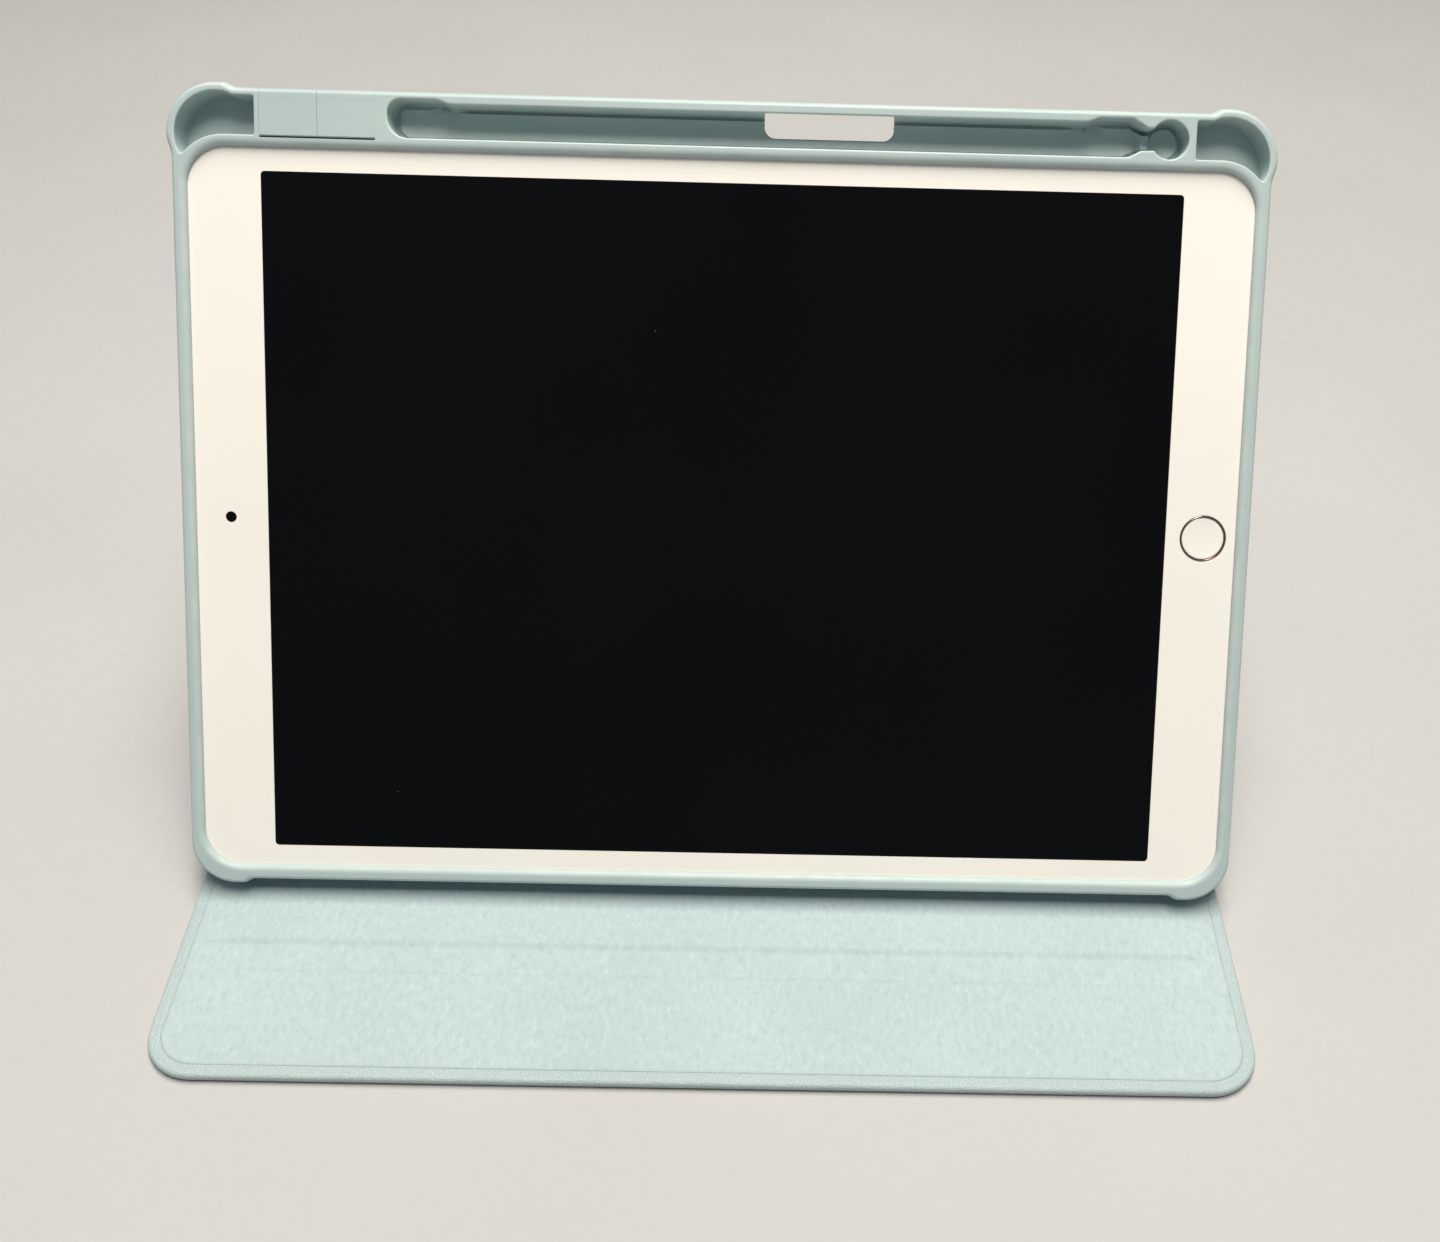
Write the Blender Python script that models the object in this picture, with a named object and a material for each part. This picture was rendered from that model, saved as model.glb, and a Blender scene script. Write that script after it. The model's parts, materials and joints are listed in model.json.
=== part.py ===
"""Folio stand case for a 10.5 inch tablet, standing open with the tablet in its soft tray.

Three stiff panels joined by soft strips carry a moulded tray: a front cover that lies on the table,
a narrow spine, and a leg that props the tray from behind. The tray's lower edge rests in a shallow
groove of the front cover. A trough along the tray's top holds a stylus.

World frame: +X is the viewer's right, -Y is towards the viewer, +Z is up. The origin is the centre of
the footprint on the table. Metres.
"""

import math

import bmesh
import bpy
from mathutils import Matrix, Vector

# Tablet, measured in its own landscape plane
TABLET_WIDTH = 0.2506
TABLET_HEIGHT = 0.1741
TABLET_THICK = 0.0061
TABLET_CORNER = 0.0105
DISPLAY_WIDTH = 0.21397
DISPLAY_HEIGHT = 0.16048
GLASS_THICK = 0.0008
HOUSING_WALL = 0.0012
HOME_X = 0.1161
HOME_RADIUS = 0.0055
CAMERA_X = -0.1158

# Tray, in the same plane: Z is 0 on its back face and grows towards the viewer
TRAY_HALF_WIDTH = 0.1273
TRAY_LOW = -0.0889
TRAY_HIGH = 0.0989
TRAY_DEPTH = 0.0098
TRAY_FLOOR = 0.0016
BUMP = 0.0011
UPPER_CORNER = 0.0117
LOWER_CORNER = 0.0108
POCKET_GAP = 0.0005
LIP_X = 0.1238
LIP_LOW = -0.0850
LIP_HIGH = 0.0858
LIP_CORNER = 0.0090

# Stylus trough along the top of the tray
TROUGH_LOW = 0.0883
TROUGH_HIGH = 0.0960
TROUGH_WIDE = 0.0970
TROUGH_LEFT = -0.0774
TIP_POCKET = Vector((0.10265, 0.09245))
TIP_POCKET_RADIUS = 0.0044
SLOT_LOW = Vector((0.0089, 0.0916))
SLOT_HIGH = Vector((0.0393, 0.0958))
SLOT_UNDERCUT = (0.0945, 0.0977)

# Cavities in the upper corners, right and left
CAVITY_LOW = 0.08815
CAVITY_HIGH = 0.0969
CAVITY_INNER = (0.1088, 0.1078)
CAMERA_WINDOW = Vector((-0.1148, 0.0765))

# Key covers moulded into the tray, and the keys they press
KEY_PROUD = 0.00025
KEY_LENGTH = 0.0100
KEY_HEIGHT = 0.0018
KEY_LEVEL = 0.0049
KEY_RUN = 0.0012
VOLUME_X = (-0.10008, -0.08672)
VOLUME_BLOCK_LENGTH = 0.01305
POWER_Y = 0.0620

# Folio panels: each has a skin, a board and a lining about one middle plane
PANEL_HALF = 0.00125
SKIN_THICK = 0.0006
BOARD_LOW = -0.0005
BOARD_HIGH = 0.0001
LINING_LOW = 0.00025
COVER_HALF_WIDTH = 0.1270
COVER_DEPTH = 0.1880
COVER_CORNER = 0.0120
COVER_RIM = 0.0030
SPINE_WIDTH = 0.0120
LEG_LENGTH = 0.1268
BACK_HALF_WIDTH = 0.1250
BACK_TOP = 0.0870
PAD_TOP = 0.0670
HINGE_GAP = 0.0026
CREASE_GAP = 0.0025
CREASE_FILLET = 0.0010

# Grooves in the front cover, from its free edge
GROOVE_WIDTH = 0.0082
GROOVE_LENGTH = 0.2390
GROOVE_DEPTH = 0.0007
GROOVE_FRONT = 0.0323
GROOVE_REAR = 0.0570

# Where the tray meets the folio
CREASE_HEIGHT = 0.1253
CREASE_BEHIND = 0.00155
EDGE_GAP = 0.0003

ARC_STEPS = 6

# Worked out from the values above
TABLET_BACK = TRAY_FLOOR + 0.0003
TABLET_FRONT = TABLET_BACK + TABLET_THICK
TRAY_EDGE_LOW = TRAY_LOW - BUMP
CREASE_Y = TRAY_EDGE_LOW + CREASE_HEIGHT
REAR_HINGE = COVER_DEPTH + SPINE_WIDTH
FOOTPRINT = REAR_HINGE + PANEL_HALF
REST_HEIGHT = 2 * PANEL_HALF - GROOVE_DEPTH + EDGE_GAP


def tray_lean():
    """Angle of the tray above the table, from the closed figure of cover, leg and tray."""
    along = REAR_HINGE - GROOVE_REAR
    rise = REST_HEIGHT - PANEL_HALF
    across = 2 * (along * CREASE_HEIGHT + rise * CREASE_BEHIND)
    upward = 2 * (along * CREASE_BEHIND - rise * CREASE_HEIGHT)
    total = along**2 + rise**2 + CREASE_HEIGHT**2 + CREASE_BEHIND**2 - LEG_LENGTH**2
    return math.atan2(upward, across) + math.acos(total / math.hypot(across, upward))


LEAN = tray_lean()
CREASE_AT = Vector(
    (
        GROOVE_REAR + CREASE_HEIGHT * math.cos(LEAN) + CREASE_BEHIND * math.sin(LEAN),
        REST_HEIGHT + CREASE_HEIGHT * math.sin(LEAN) - CREASE_BEHIND * math.cos(LEAN),
    )
)
LEG_ANGLE = math.atan2(CREASE_AT.y - PANEL_HALF, CREASE_AT.x - REAR_HINGE)


def clear_scene():
    for obj in list(bpy.data.objects):
        bpy.data.objects.remove(obj)


def new_collection(name, hidden=False):
    collection = bpy.data.collections.new(name)
    collection.hide_render = hidden
    bpy.context.scene.collection.children.link(collection)
    return collection


def material(name, colour, roughness, metallic=0.0):
    made = bpy.data.materials.new(name)
    made.use_nodes = True
    shader = made.node_tree.nodes["Principled BSDF"]
    shader.inputs["Base Color"].default_value = (*colour, 1.0)
    shader.inputs["Roughness"].default_value = roughness
    shader.inputs["Metallic"].default_value = metallic
    made.diffuse_color = (*colour, 1.0)
    return made


def empty(name, location, turn, parent=None):
    """A named frame: turn is about X, in radians."""
    frame = bpy.data.objects.new(name, None)
    frame.empty_display_size = 0.02
    frame.location = location
    frame.rotation_euler = (turn, 0.0, 0.0)
    frame.parent = parent
    PARTS.objects.link(frame)
    return frame


def rounded(corners, steps=ARC_STEPS):
    """Closed outline through corners (x, y, radius), each one turned with an arc."""
    points = []
    for index, (x, y, radius) in enumerate(corners):
        here = Vector((x, y))
        before = (Vector(corners[index - 1][:2]) - here).normalized()
        after = (Vector(corners[(index + 1) % len(corners)][:2]) - here).normalized()
        if radius == 0:
            points.append(here)
            continue
        half = before.angle(after) / 2
        centre = here + (before + after).normalized() * radius / math.sin(half)
        first = here + before * radius / math.tan(half) - centre
        last = here + after * radius / math.tan(half) - centre
        sweep = first.angle_signed(last)
        for step in range(steps + 1):
            points.append(centre + Matrix.Rotation(-sweep * step / steps, 2) @ first)
    return points


def rectangle(low, high, radius=0.0, steps=ARC_STEPS):
    corners = ((low[0], low[1]), (high[0], low[1]), (high[0], high[1]), (low[0], high[1]))
    return rounded([(x, y, radius) for x, y in corners], steps)


def disc(x, y, radius, steps=24):
    return arc((x, y), radius, 0, 360, steps)[:-1]


def arc(centre, radius, start, end, steps=ARC_STEPS):
    """Points on a circle between two angles in degrees."""
    angles = [math.radians(start + (end - start) * i / steps) for i in range(steps + 1)]
    return [Vector((centre[0] + radius * math.cos(a), centre[1] + radius * math.sin(a))) for a in angles]


def centred(half_x, half_y, radius):
    return rectangle((-half_x, -half_y), (half_x, half_y), radius)


def plate(name, loops, low, high, parent, finish=None, at=(0.0, 0.0), upright=False):
    """Flat outline with holes, between two levels. Upright turns it to run along X as a profile in YZ."""
    curve = bpy.data.curves.new(name, "CURVE")
    curve.dimensions = "2D"
    curve.fill_mode = "BOTH"
    curve.extrude = (high - low) / 2
    for loop in loops:
        spline = curve.splines.new("POLY")
        spline.points.add(len(loop) - 1)
        for point, place in zip(spline.points, loop):
            point.co = (place[0] - at[0], place[1] - at[1], 0.0, 1.0)
        spline.use_cyclic_u = True
    drawn = bpy.data.objects.new(name + "_outline", curve)
    PARTS.objects.link(drawn)
    bpy.context.view_layer.update()
    mesh = bpy.data.meshes.new_from_object(drawn.evaluated_get(bpy.context.evaluated_depsgraph_get()))
    bpy.data.objects.remove(drawn)
    mesh.name = name
    weld(mesh)
    piece = bpy.data.objects.new(name, mesh)
    piece.location = (at[0], at[1], (low + high) / 2)
    if upright:
        piece.rotation_euler = (math.pi / 2, 0.0, math.pi / 2)
        piece.location = ((low + high) / 2, at[0], at[1])
    piece.parent = parent
    if finish is None:
        CUTTERS.objects.link(piece)
        piece.hide_render = True
        piece.display_type = "WIRE"
    else:
        PARTS.objects.link(piece)
        mesh.materials.clear()
        mesh.materials.append(finish)
    return piece


def weld(mesh):
    shape = bmesh.new()
    shape.from_mesh(mesh)
    bmesh.ops.remove_doubles(shape, verts=shape.verts, dist=1e-7)
    bmesh.ops.recalc_face_normals(shape, faces=shape.faces)
    if shape.calc_volume(signed=True) < 0:
        bmesh.ops.reverse_faces(shape, faces=shape.faces)
    shape.to_mesh(mesh)
    shape.free()


def block(name, low, high, parent, finish=None):
    """Box between two corners in its parent's frame, with its origin at its centre."""
    return plate(
        name,
        [rectangle(low[:2], high[:2])],
        low[2],
        high[2],
        parent,
        finish,
        at=((low[0] + high[0]) / 2, (low[1] + high[1]) / 2),
    )


def combine(piece, other, operation):
    step = piece.modifiers.new(operation.lower() + "_" + other.name, "BOOLEAN")
    step.operation = operation
    step.solver = "EXACT"
    step.object = other


def cut(piece, *cutters):
    for cutter in cutters:
        combine(piece, cutter, "DIFFERENCE")


# Front cover


def groove(name, middle):
    half = GROOVE_LENGTH / 2
    outline = rectangle(
        (-half, middle - GROOVE_WIDTH / 2), (half, middle + GROOVE_WIDTH / 2), GROOVE_WIDTH * 0.499
    )
    return plate(name, [outline], PANEL_HALF - GROOVE_DEPTH, PANEL_HALF + 0.001, COVER_FRAME)


def cover_outline(inset):
    side = COVER_HALF_WIDTH - inset
    back = COVER_DEPTH - HINGE_GAP - inset
    corner = COVER_CORNER - inset
    return rounded(
        [(-side, inset, corner), (side, inset, corner), (side, back, 0.001), (-side, back, 0.001)]
    )


def front_cover():
    skin = plate("front_cover_skin", [cover_outline(0.0)], -PANEL_HALF, PANEL_HALF, COVER_FRAME, SKIN)
    inside = plate(
        "front_cover_inside", [cover_outline(COVER_RIM)], SKIN_THICK - PANEL_HALF, 0.002, COVER_FRAME
    )
    cut(skin, inside)
    magnets = {"wake_magnet": (-0.098, 0.016), "closure_magnet": (0.070, 0.010)}
    holes = []
    for name, (x, y) in magnets.items():
        place = ((x - 0.010, y - 0.003), (x + 0.010, y + 0.003))
        plate(name, [rectangle(*place)], BOARD_LOW, BOARD_HIGH, COVER_FRAME, STEEL, at=(x, y))
        margin = Vector((0.0003, 0.0003))
        holes.append(rectangle(Vector(place[0]) - margin, Vector(place[1]) + margin))
    board = [cover_outline(COVER_RIM + 0.0004), *holes]
    plate("front_cover_board", board, BOARD_LOW, BOARD_HIGH, COVER_FRAME, BOARD)
    inner = [cover_outline(COVER_RIM + 0.0003)]
    lining = plate("front_cover_lining", inner, LINING_LOW, PANEL_HALF, COVER_FRAME, LINING)
    cut(lining, groove("front_groove", GROOVE_FRONT), groove("rear_groove", GROOVE_REAR))


# Spine and leg: plain panels between two soft strips


def stiff_panel(prefix, frame, low, high, half_width):
    """Skin, board and lining between two edges of a panel that has no rim."""
    layers = (
        ("_skin", 0.0, -PANEL_HALF, SKIN_THICK - PANEL_HALF, SKIN),
        ("_board", 0.0015, BOARD_LOW, BOARD_HIGH, BOARD),
        ("_lining", 0.0006, LINING_LOW, PANEL_HALF, LINING),
    )
    for suffix, inset, bottom, top, finish in layers:
        outline = rectangle((inset - half_width, low), (half_width - inset, high), 0.001, 3)
        plate(prefix + suffix, [outline], bottom, top, frame, finish)


def bent_strip(name, centre, radii, start, end, reach, frame):
    """Soft strip round a fold: an arc between two directions (degrees), with a flat tab at each end."""
    inner, outer = radii
    turn = 1 if end >= start else -1

    def tab(radius, angle, side):
        out = Vector((math.cos(math.radians(angle)), math.sin(math.radians(angle))))
        along = Vector((-out.y, out.x)) * turn * side
        return Vector(centre) + out * radius + along * reach

    steps = max(1, round(abs(end - start) / 12))
    outer_side = [tab(outer, start, -1), *arc(centre, outer, start, end, steps), tab(outer, end, 1)]
    inner_side = [tab(inner, end, 1), *arc(centre, inner, end, start, steps), tab(inner, start, -1)]
    width = BACK_HALF_WIDTH
    return plate(name, [outer_side + inner_side], -width, width, frame, SKIN, upright=True)


def hinge_strips():
    """The skin where it bends: beside the spine, under the leg, and at the crease behind the tray."""
    radii = (SKIN_THICK, PANEL_HALF - 0.00005)
    tab = HINGE_GAP - 0.0003
    leg_turn = math.degrees(LEG_ANGLE)
    bent_strip("front_hinge_strip", (0.0, 0.0), radii, -90, -90, tab, SPINE_FRAME)
    bent_strip("rear_hinge_strip", (SPINE_WIDTH, 0.0), radii, -90, leg_turn - 90, tab, SPINE_FRAME)
    fold = LEG_ANGLE - LEAN
    middle = PANEL_HALF + CREASE_FILLET
    slide = middle * math.tan(fold / 2)
    bent_strip(
        "crease_strip",
        (slide, -middle),
        (CREASE_FILLET + SKIN_THICK, CREASE_FILLET),
        90,
        90 + math.degrees(fold),
        CREASE_GAP - slide - 0.0003,
        CREASE_FRAME,
    )


# Back panel, glued to the upper part of the tray


def back_panel():
    middle = -CREASE_BEHIND
    low = CREASE_Y + CREASE_GAP
    window = disc(CAMERA_WINDOW.x, CAMERA_WINDOW.y, 0.0075)
    layers = (
        ("back_panel_skin", 0.0, BACK_TOP, [window], -PANEL_HALF, SKIN_THICK - PANEL_HALF, SKIN),
        ("back_panel_board", 0.0015, BACK_TOP - 0.0015, [window], BOARD_LOW, BOARD_HIGH, BOARD),
        ("adhesive_pad", 0.0040, PAD_TOP, [], LINING_LOW, -0.0003 - middle, ADHESIVE),
    )
    for name, inset, high, holes, bottom, top, finish in layers:
        side = BACK_HALF_WIDTH - inset
        corners = [(-side, low, 0.001), (side, low, 0.001), (side, high, 0.008), (-side, high, 0.008)]
        plate(name, [rounded(corners), *holes], middle + bottom, middle + top, TRAY_FRAME, finish)


# Tray


def tray_outline():
    """Outer edge of the tray, with bumpers at its corners, and the same with a gap for the volume keys."""
    side = TRAY_HALF_WIDTH
    bump = side + BUMP
    low = TRAY_LOW - BUMP
    high = TRAY_HIGH + BUMP
    right = [
        (0.1124, TRAY_LOW, 0.001),
        (0.1144, low, 0.001),
        (side, low, LOWER_CORNER),
        (side, high - 0.0166, 0.001),
        (bump, high - 0.0127, 0.001),
        (bump, high, UPPER_CORNER),
        (0.1146, high, 0.001),
        (0.1124, TRAY_HIGH, 0.001),
    ]
    left = [(-x, y, radius) for x, y, radius in reversed(right)]
    gap_left = VOLUME_X[0] - VOLUME_BLOCK_LENGTH / 2 - 0.0003
    gap_right = VOLUME_X[1] + VOLUME_BLOCK_LENGTH / 2 + 0.0003
    key_gap = [
        (gap_right, TRAY_HIGH, 0),
        (gap_right, TROUGH_LOW, 0),
        (gap_left, TROUGH_LOW, 0),
        (gap_left, TRAY_HIGH, 0),
    ]
    return rounded(right + key_gap + left, 4), rounded(right + left, 4)


def trough_outline():
    """Stylus trough: a long channel, a pinched neck and a round pocket for the cap."""
    channel = [
        (TROUGH_LEFT, TROUGH_WIDE, 0.0032),
        (TROUGH_LEFT, TROUGH_LOW, 0.0046),
        (0.0932, TROUGH_LOW, 0.0020),
        (0.0959, 0.0898, 0.0010),
    ]
    cap = arc(TIP_POCKET, TIP_POCKET_RADIUS, -145, 145, 20)
    back = [
        (0.0976, 0.0949, 0.0008),
        (0.0940, TROUGH_WIDE, 0.0012),
        (0.0862, TROUGH_WIDE, 0.0010),
        (0.0836, TROUGH_HIGH, 0.0010),
        (-0.0634, TROUGH_HIGH, 0.0010),
        (-0.0660, TROUGH_WIDE, 0.0010),
    ]
    return rounded(channel + [(x, y, 0) for x, y in cap] + back, 4)


def corner_cavity(side, inner):
    """Hollow behind a top corner, between the outer wall and the band round the tablet's corner."""
    band_radius = 0.0118
    band = arc((0.1150, CAVITY_LOW - band_radius), band_radius, 90, 42)
    tip = [Vector((0.1246, 0.0837))]
    outer = arc((0.11635, 0.0881), 0.0097, -20, 88)
    step = [Vector((0.1140, 0.0976)), Vector((0.1126, CAVITY_HIGH))]
    end = [Vector((inner, CAVITY_HIGH)), Vector((inner, CAVITY_LOW))]
    points = [*band, *tip, *outer, *step, *end]
    return [Vector((side * point.x, point.y)) for point in points]


def tray_shell():
    walls, floor = tray_outline()
    half_x = TABLET_WIDTH / 2 + POCKET_GAP
    half_y = TABLET_HEIGHT / 2 + POCKET_GAP
    pocket = centred(half_x, half_y, TABLET_CORNER + POCKET_GAP)
    cavities = [corner_cavity(side, inner) for side, inner in zip((1, -1), CAVITY_INNER)]
    hollows = [pocket, trough_outline(), *cavities]
    shell = plate("tray_shell", [walls, *hollows], TRAY_FLOOR - 0.0002, TRAY_DEPTH, TRAY_FRAME, SOFT)
    finger_slot = rectangle(SLOT_LOW, SLOT_HIGH, 0.0015)
    camera_window = disc(CAMERA_WINDOW.x, CAMERA_WINDOW.y, 0.0070)
    base = plate("tray_base", [floor, finger_slot, camera_window], 0.0, TRAY_FLOOR, TRAY_FRAME)
    combine(shell, base, "UNION")
    undercut = ((SLOT_LOW.x, SLOT_UNDERCUT[0], -0.001), (SLOT_HIGH.x, SLOT_UNDERCUT[1], TRAY_DEPTH - 0.0008))
    cut(shell, block("slot_undercut", *undercut, TRAY_FRAME))
    outer = TRAY_HALF_WIDTH + 0.003
    inner = TABLET_WIDTH / 2 - 0.001
    port = (0.0019, 0.0083)
    speaker = (0.0032, 0.0066)
    openings = (
        ("port_slot", 1, -0.0080, 0.0080, port),
        ("right_upper_slot", 1, 0.0420, 0.0640, speaker),
        ("right_lower_slot", 1, -0.0640, -0.0420, speaker),
        ("left_upper_slot", -1, 0.0250, 0.0470, speaker),
        ("left_lower_slot", -1, -0.0640, -0.0420, speaker),
        ("jack_slot", -1, -0.0795, -0.0715, port),
        ("power_window", -1, POWER_Y - 0.0068, POWER_Y + 0.0068, (0.0028, 0.0070)),
    )
    for name, side, low, high, (back, front) in openings:
        left, right = sorted((side * inner, side * outer))
        cut(shell, block(name, (left, low, back), (right, high, front), TRAY_FRAME))
    window = ((-0.1060, half_y - 0.001, 0.0033), (-0.0808, TROUGH_LOW + 0.001, 0.0065))
    cut(shell, block("volume_window", *window, TRAY_FRAME))


def tray_lip():
    """The rim that folds over the glass, apart from the wall that carries it."""
    half_x = TABLET_WIDTH / 2 + POCKET_GAP - 0.0003
    half_y = TABLET_HEIGHT / 2 + POCKET_GAP - 0.0003
    outer = centred(half_x, half_y, TABLET_CORNER + 0.0002)
    inner = rectangle((-LIP_X, LIP_LOW), (LIP_X, LIP_HIGH), LIP_CORNER)
    plate("tray_lip", [outer, inner], TABLET_FRONT + 0.0003, TRAY_DEPTH, TRAY_FRAME, SOFT)


def key_covers():
    """Blocks that flex with the tray wall: each has a nub over one of the tablet's keys."""
    nub_tip = TABLET_HEIGHT / 2 + KEY_PROUD + 0.0003
    low = TROUGH_LOW + 0.0006
    for name, x in zip(("volume_up_cover", "volume_down_cover"), VOLUME_X):
        half = VOLUME_BLOCK_LENGTH / 2
        cover = plate(
            name,
            [rectangle((x - half, low), (x + half, TRAY_HIGH), 0.0)],
            TRAY_FLOOR + 0.0003,
            TRAY_DEPTH,
            TRAY_FRAME,
            SOFT,
            at=(x, low),
        )
        nub = ((x - 0.0035, nub_tip, 0.0040), (x + 0.0035, low + 0.001, 0.0058))
        combine(cover, block(name + "_nub", *nub, TRAY_FRAME), "UNION")
    inner = TABLET_WIDTH / 2 + KEY_PROUD + 0.0003
    outer = TRAY_HALF_WIDTH + 0.0008
    cover = ((-outer, POWER_Y - 0.0062, 0.0034), (-inner, POWER_Y + 0.0062, 0.0064))
    block("power_cover", *cover, TRAY_FRAME, SOFT)


# Tablet


def tablet_housing():
    half_x = TABLET_WIDTH / 2
    half_y = TABLET_HEIGHT / 2
    top = TABLET_FRONT - GLASS_THICK - 0.00015
    outline = centred(half_x, half_y, TABLET_CORNER)
    housing = plate("tablet_housing", [outline], TABLET_BACK, top, TRAY_FRAME, ALUMINIUM)
    wall = HOUSING_WALL
    inside = centred(half_x - wall, half_y - wall, TABLET_CORNER - wall)
    hollow = plate("housing_inside", [inside], TABLET_BACK + 0.0010, top + 0.001, TRAY_FRAME)
    reach = 0.003
    half_key = KEY_LENGTH / 2 + 0.0003
    key_low = KEY_LEVEL - KEY_HEIGHT / 2 - 0.0003
    key_high = KEY_LEVEL + KEY_HEIGHT / 2 + 0.0003
    holes = []
    for name, x in zip(("volume_up_hole", "volume_down_hole"), VOLUME_X):
        low = (x - half_key, half_y - reach, key_low)
        holes.append(block(name, low, (x + half_key, half_y + reach, key_high), TRAY_FRAME))
    low = (-half_x - reach, POWER_Y - half_key, key_low)
    holes.append(block("power_hole", low, (-half_x + reach, POWER_Y + half_key, key_high), TRAY_FRAME))
    port = ((half_x - reach, -0.0045, 0.0034), (half_x + reach, 0.0045, 0.0064))
    holes.append(block("port_hole", *port, TRAY_FRAME))
    jack = ((-half_x - reach, -0.0775, 0.0032), (-half_x + reach, -0.0735, 0.0066))
    holes.append(block("jack_hole", *jack, TRAY_FRAME))
    cut(housing, hollow, *holes)


def tablet_front():
    low = TABLET_FRONT - GLASS_THICK
    half_x = DISPLAY_WIDTH / 2
    half_y = DISPLAY_HEIGHT / 2
    gap = 0.00012
    loops = [
        centred(TABLET_WIDTH / 2 - 0.0003, TABLET_HEIGHT / 2 - 0.0003, TABLET_CORNER - 0.0003),
        centred(half_x + gap, half_y + gap, 0.0008),
        disc(HOME_X, 0.0, HOME_RADIUS + 0.0001, 48),
        disc(CAMERA_X, 0.0, 0.00135),
    ]
    plate("front_glass", loops, low, TABLET_FRONT, TRAY_FRAME, WHITE_GLASS)
    display = [centred(half_x, half_y, 0.0007)]
    plate("display_panel", display, low - 0.0006, TABLET_FRONT, TRAY_FRAME, BLACK_GLASS)
    ring = [disc(HOME_X, 0.0, HOME_RADIUS, 48), disc(HOME_X, 0.0, HOME_RADIUS - 0.0004, 48)]
    plate("home_button_ring", ring, low, TABLET_FRONT, TRAY_FRAME, ROSE, at=(HOME_X, 0.0))
    button = [disc(HOME_X, 0.0, HOME_RADIUS - 0.0005, 40)]
    plate("home_button", button, low, TABLET_FRONT - 0.0001, TRAY_FRAME, WHITE_GLASS, at=(HOME_X, 0.0))
    lens = [disc(CAMERA_X, 0.0, 0.00125)]
    plate("front_camera", lens, low, TABLET_FRONT - 0.0001, TRAY_FRAME, BLACK_GLASS, at=(CAMERA_X, 0.0))


def rear_camera():
    x, y = CAMERA_WINDOW
    top = TABLET_BACK - 0.00015
    ring = [disc(x, y, 0.0048), disc(x, y, 0.0036)]
    plate("rear_camera_ring", ring, top - 0.0008, top, TRAY_FRAME, ALUMINIUM, at=(x, y))
    plate("rear_camera_lens", [disc(x, y, 0.0034)], top - 0.0006, top, TRAY_FRAME, BLACK_GLASS, at=(x, y))


def tablet_keys():
    low = KEY_LEVEL - KEY_HEIGHT / 2
    high = KEY_LEVEL + KEY_HEIGHT / 2
    face = TABLET_HEIGHT / 2 + KEY_PROUD
    half = KEY_LENGTH / 2
    for name, x in zip(("volume_up_key", "volume_down_key"), VOLUME_X):
        block(name, (x - half, face - KEY_RUN, low), (x + half, face, high), TRAY_FRAME, ALUMINIUM)
    face = TABLET_WIDTH / 2 + KEY_PROUD
    key = ((-face, POWER_Y - half, low), (KEY_RUN - face, POWER_Y + half, high))
    block("power_key", *key, TRAY_FRAME, ALUMINIUM)


def tablet_inside():
    floor = TABLET_BACK + 0.0012
    block("battery_left", (-0.0780, -0.0620, floor), (-0.0030, 0.0620, floor + 0.0030), TRAY_FRAME, CELL)
    block("battery_right", (0.0030, -0.0620, floor), (0.0780, 0.0620, floor + 0.0030), TRAY_FRAME, CELL)
    block("logic_board", (-0.1120, -0.0300, floor), (-0.0820, 0.0640, floor + 0.0016), TRAY_FRAME, CIRCUIT)
    block("port_board", (0.0820, -0.0200, floor), (0.1120, 0.0200, floor + 0.0012), TRAY_FRAME, CIRCUIT)
    speakers = (("left_lower", -1, -1), ("right_lower", 1, -1), ("right_upper", 1, 1))
    for name, side, level in speakers:
        x, y = side * 0.1115, level * 0.0530
        low = (x - 0.009, y - 0.013, floor)
        high = (x + 0.009, y + 0.013, floor + 0.0030)
        block("speaker_" + name, low, high, TRAY_FRAME, DARK)
    edge = TABLET_WIDTH / 2
    port = ((edge - 0.0070, -0.0042, 0.0037), (edge - 0.0002, 0.0042, 0.0061))
    shell = block("charge_port", *port, TRAY_FRAME, ALUMINIUM)
    mouth = ((edge - 0.0062, -0.0036, 0.0042), (edge + 0.001, 0.0036, 0.0056))
    cut(shell, block("port_mouth", *mouth, TRAY_FRAME))


clear_scene()
PARTS = new_collection("tablet_folio_case")
CUTTERS = new_collection("cutters", hidden=True)

SKIN = material("mint_skin", (0.55, 0.72, 0.68), 0.55)
LINING = material("mint_microfibre", (0.62, 0.76, 0.72), 0.90)
SOFT = material("mint_tpu", (0.54, 0.69, 0.66), 0.40)
BOARD = material("grey_board", (0.45, 0.42, 0.38), 0.80)
ADHESIVE = material("adhesive", (0.80, 0.78, 0.70), 0.60)
STEEL = material("magnet", (0.55, 0.55, 0.56), 0.35, 1.0)
ALUMINIUM = material("anodised_aluminium", (0.80, 0.72, 0.66), 0.35, 1.0)
WHITE_GLASS = material("white_glass", (0.90, 0.88, 0.84), 0.08)
BLACK_GLASS = material("black_glass", (0.01, 0.01, 0.012), 0.05)
ROSE = material("ring_metal", (0.30, 0.20, 0.18), 0.25, 1.0)
CELL = material("battery_wrap", (0.08, 0.08, 0.09), 0.50)
CIRCUIT = material("circuit_board", (0.03, 0.18, 0.10), 0.45)
DARK = material("speaker_plastic", (0.04, 0.04, 0.04), 0.60)

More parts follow.
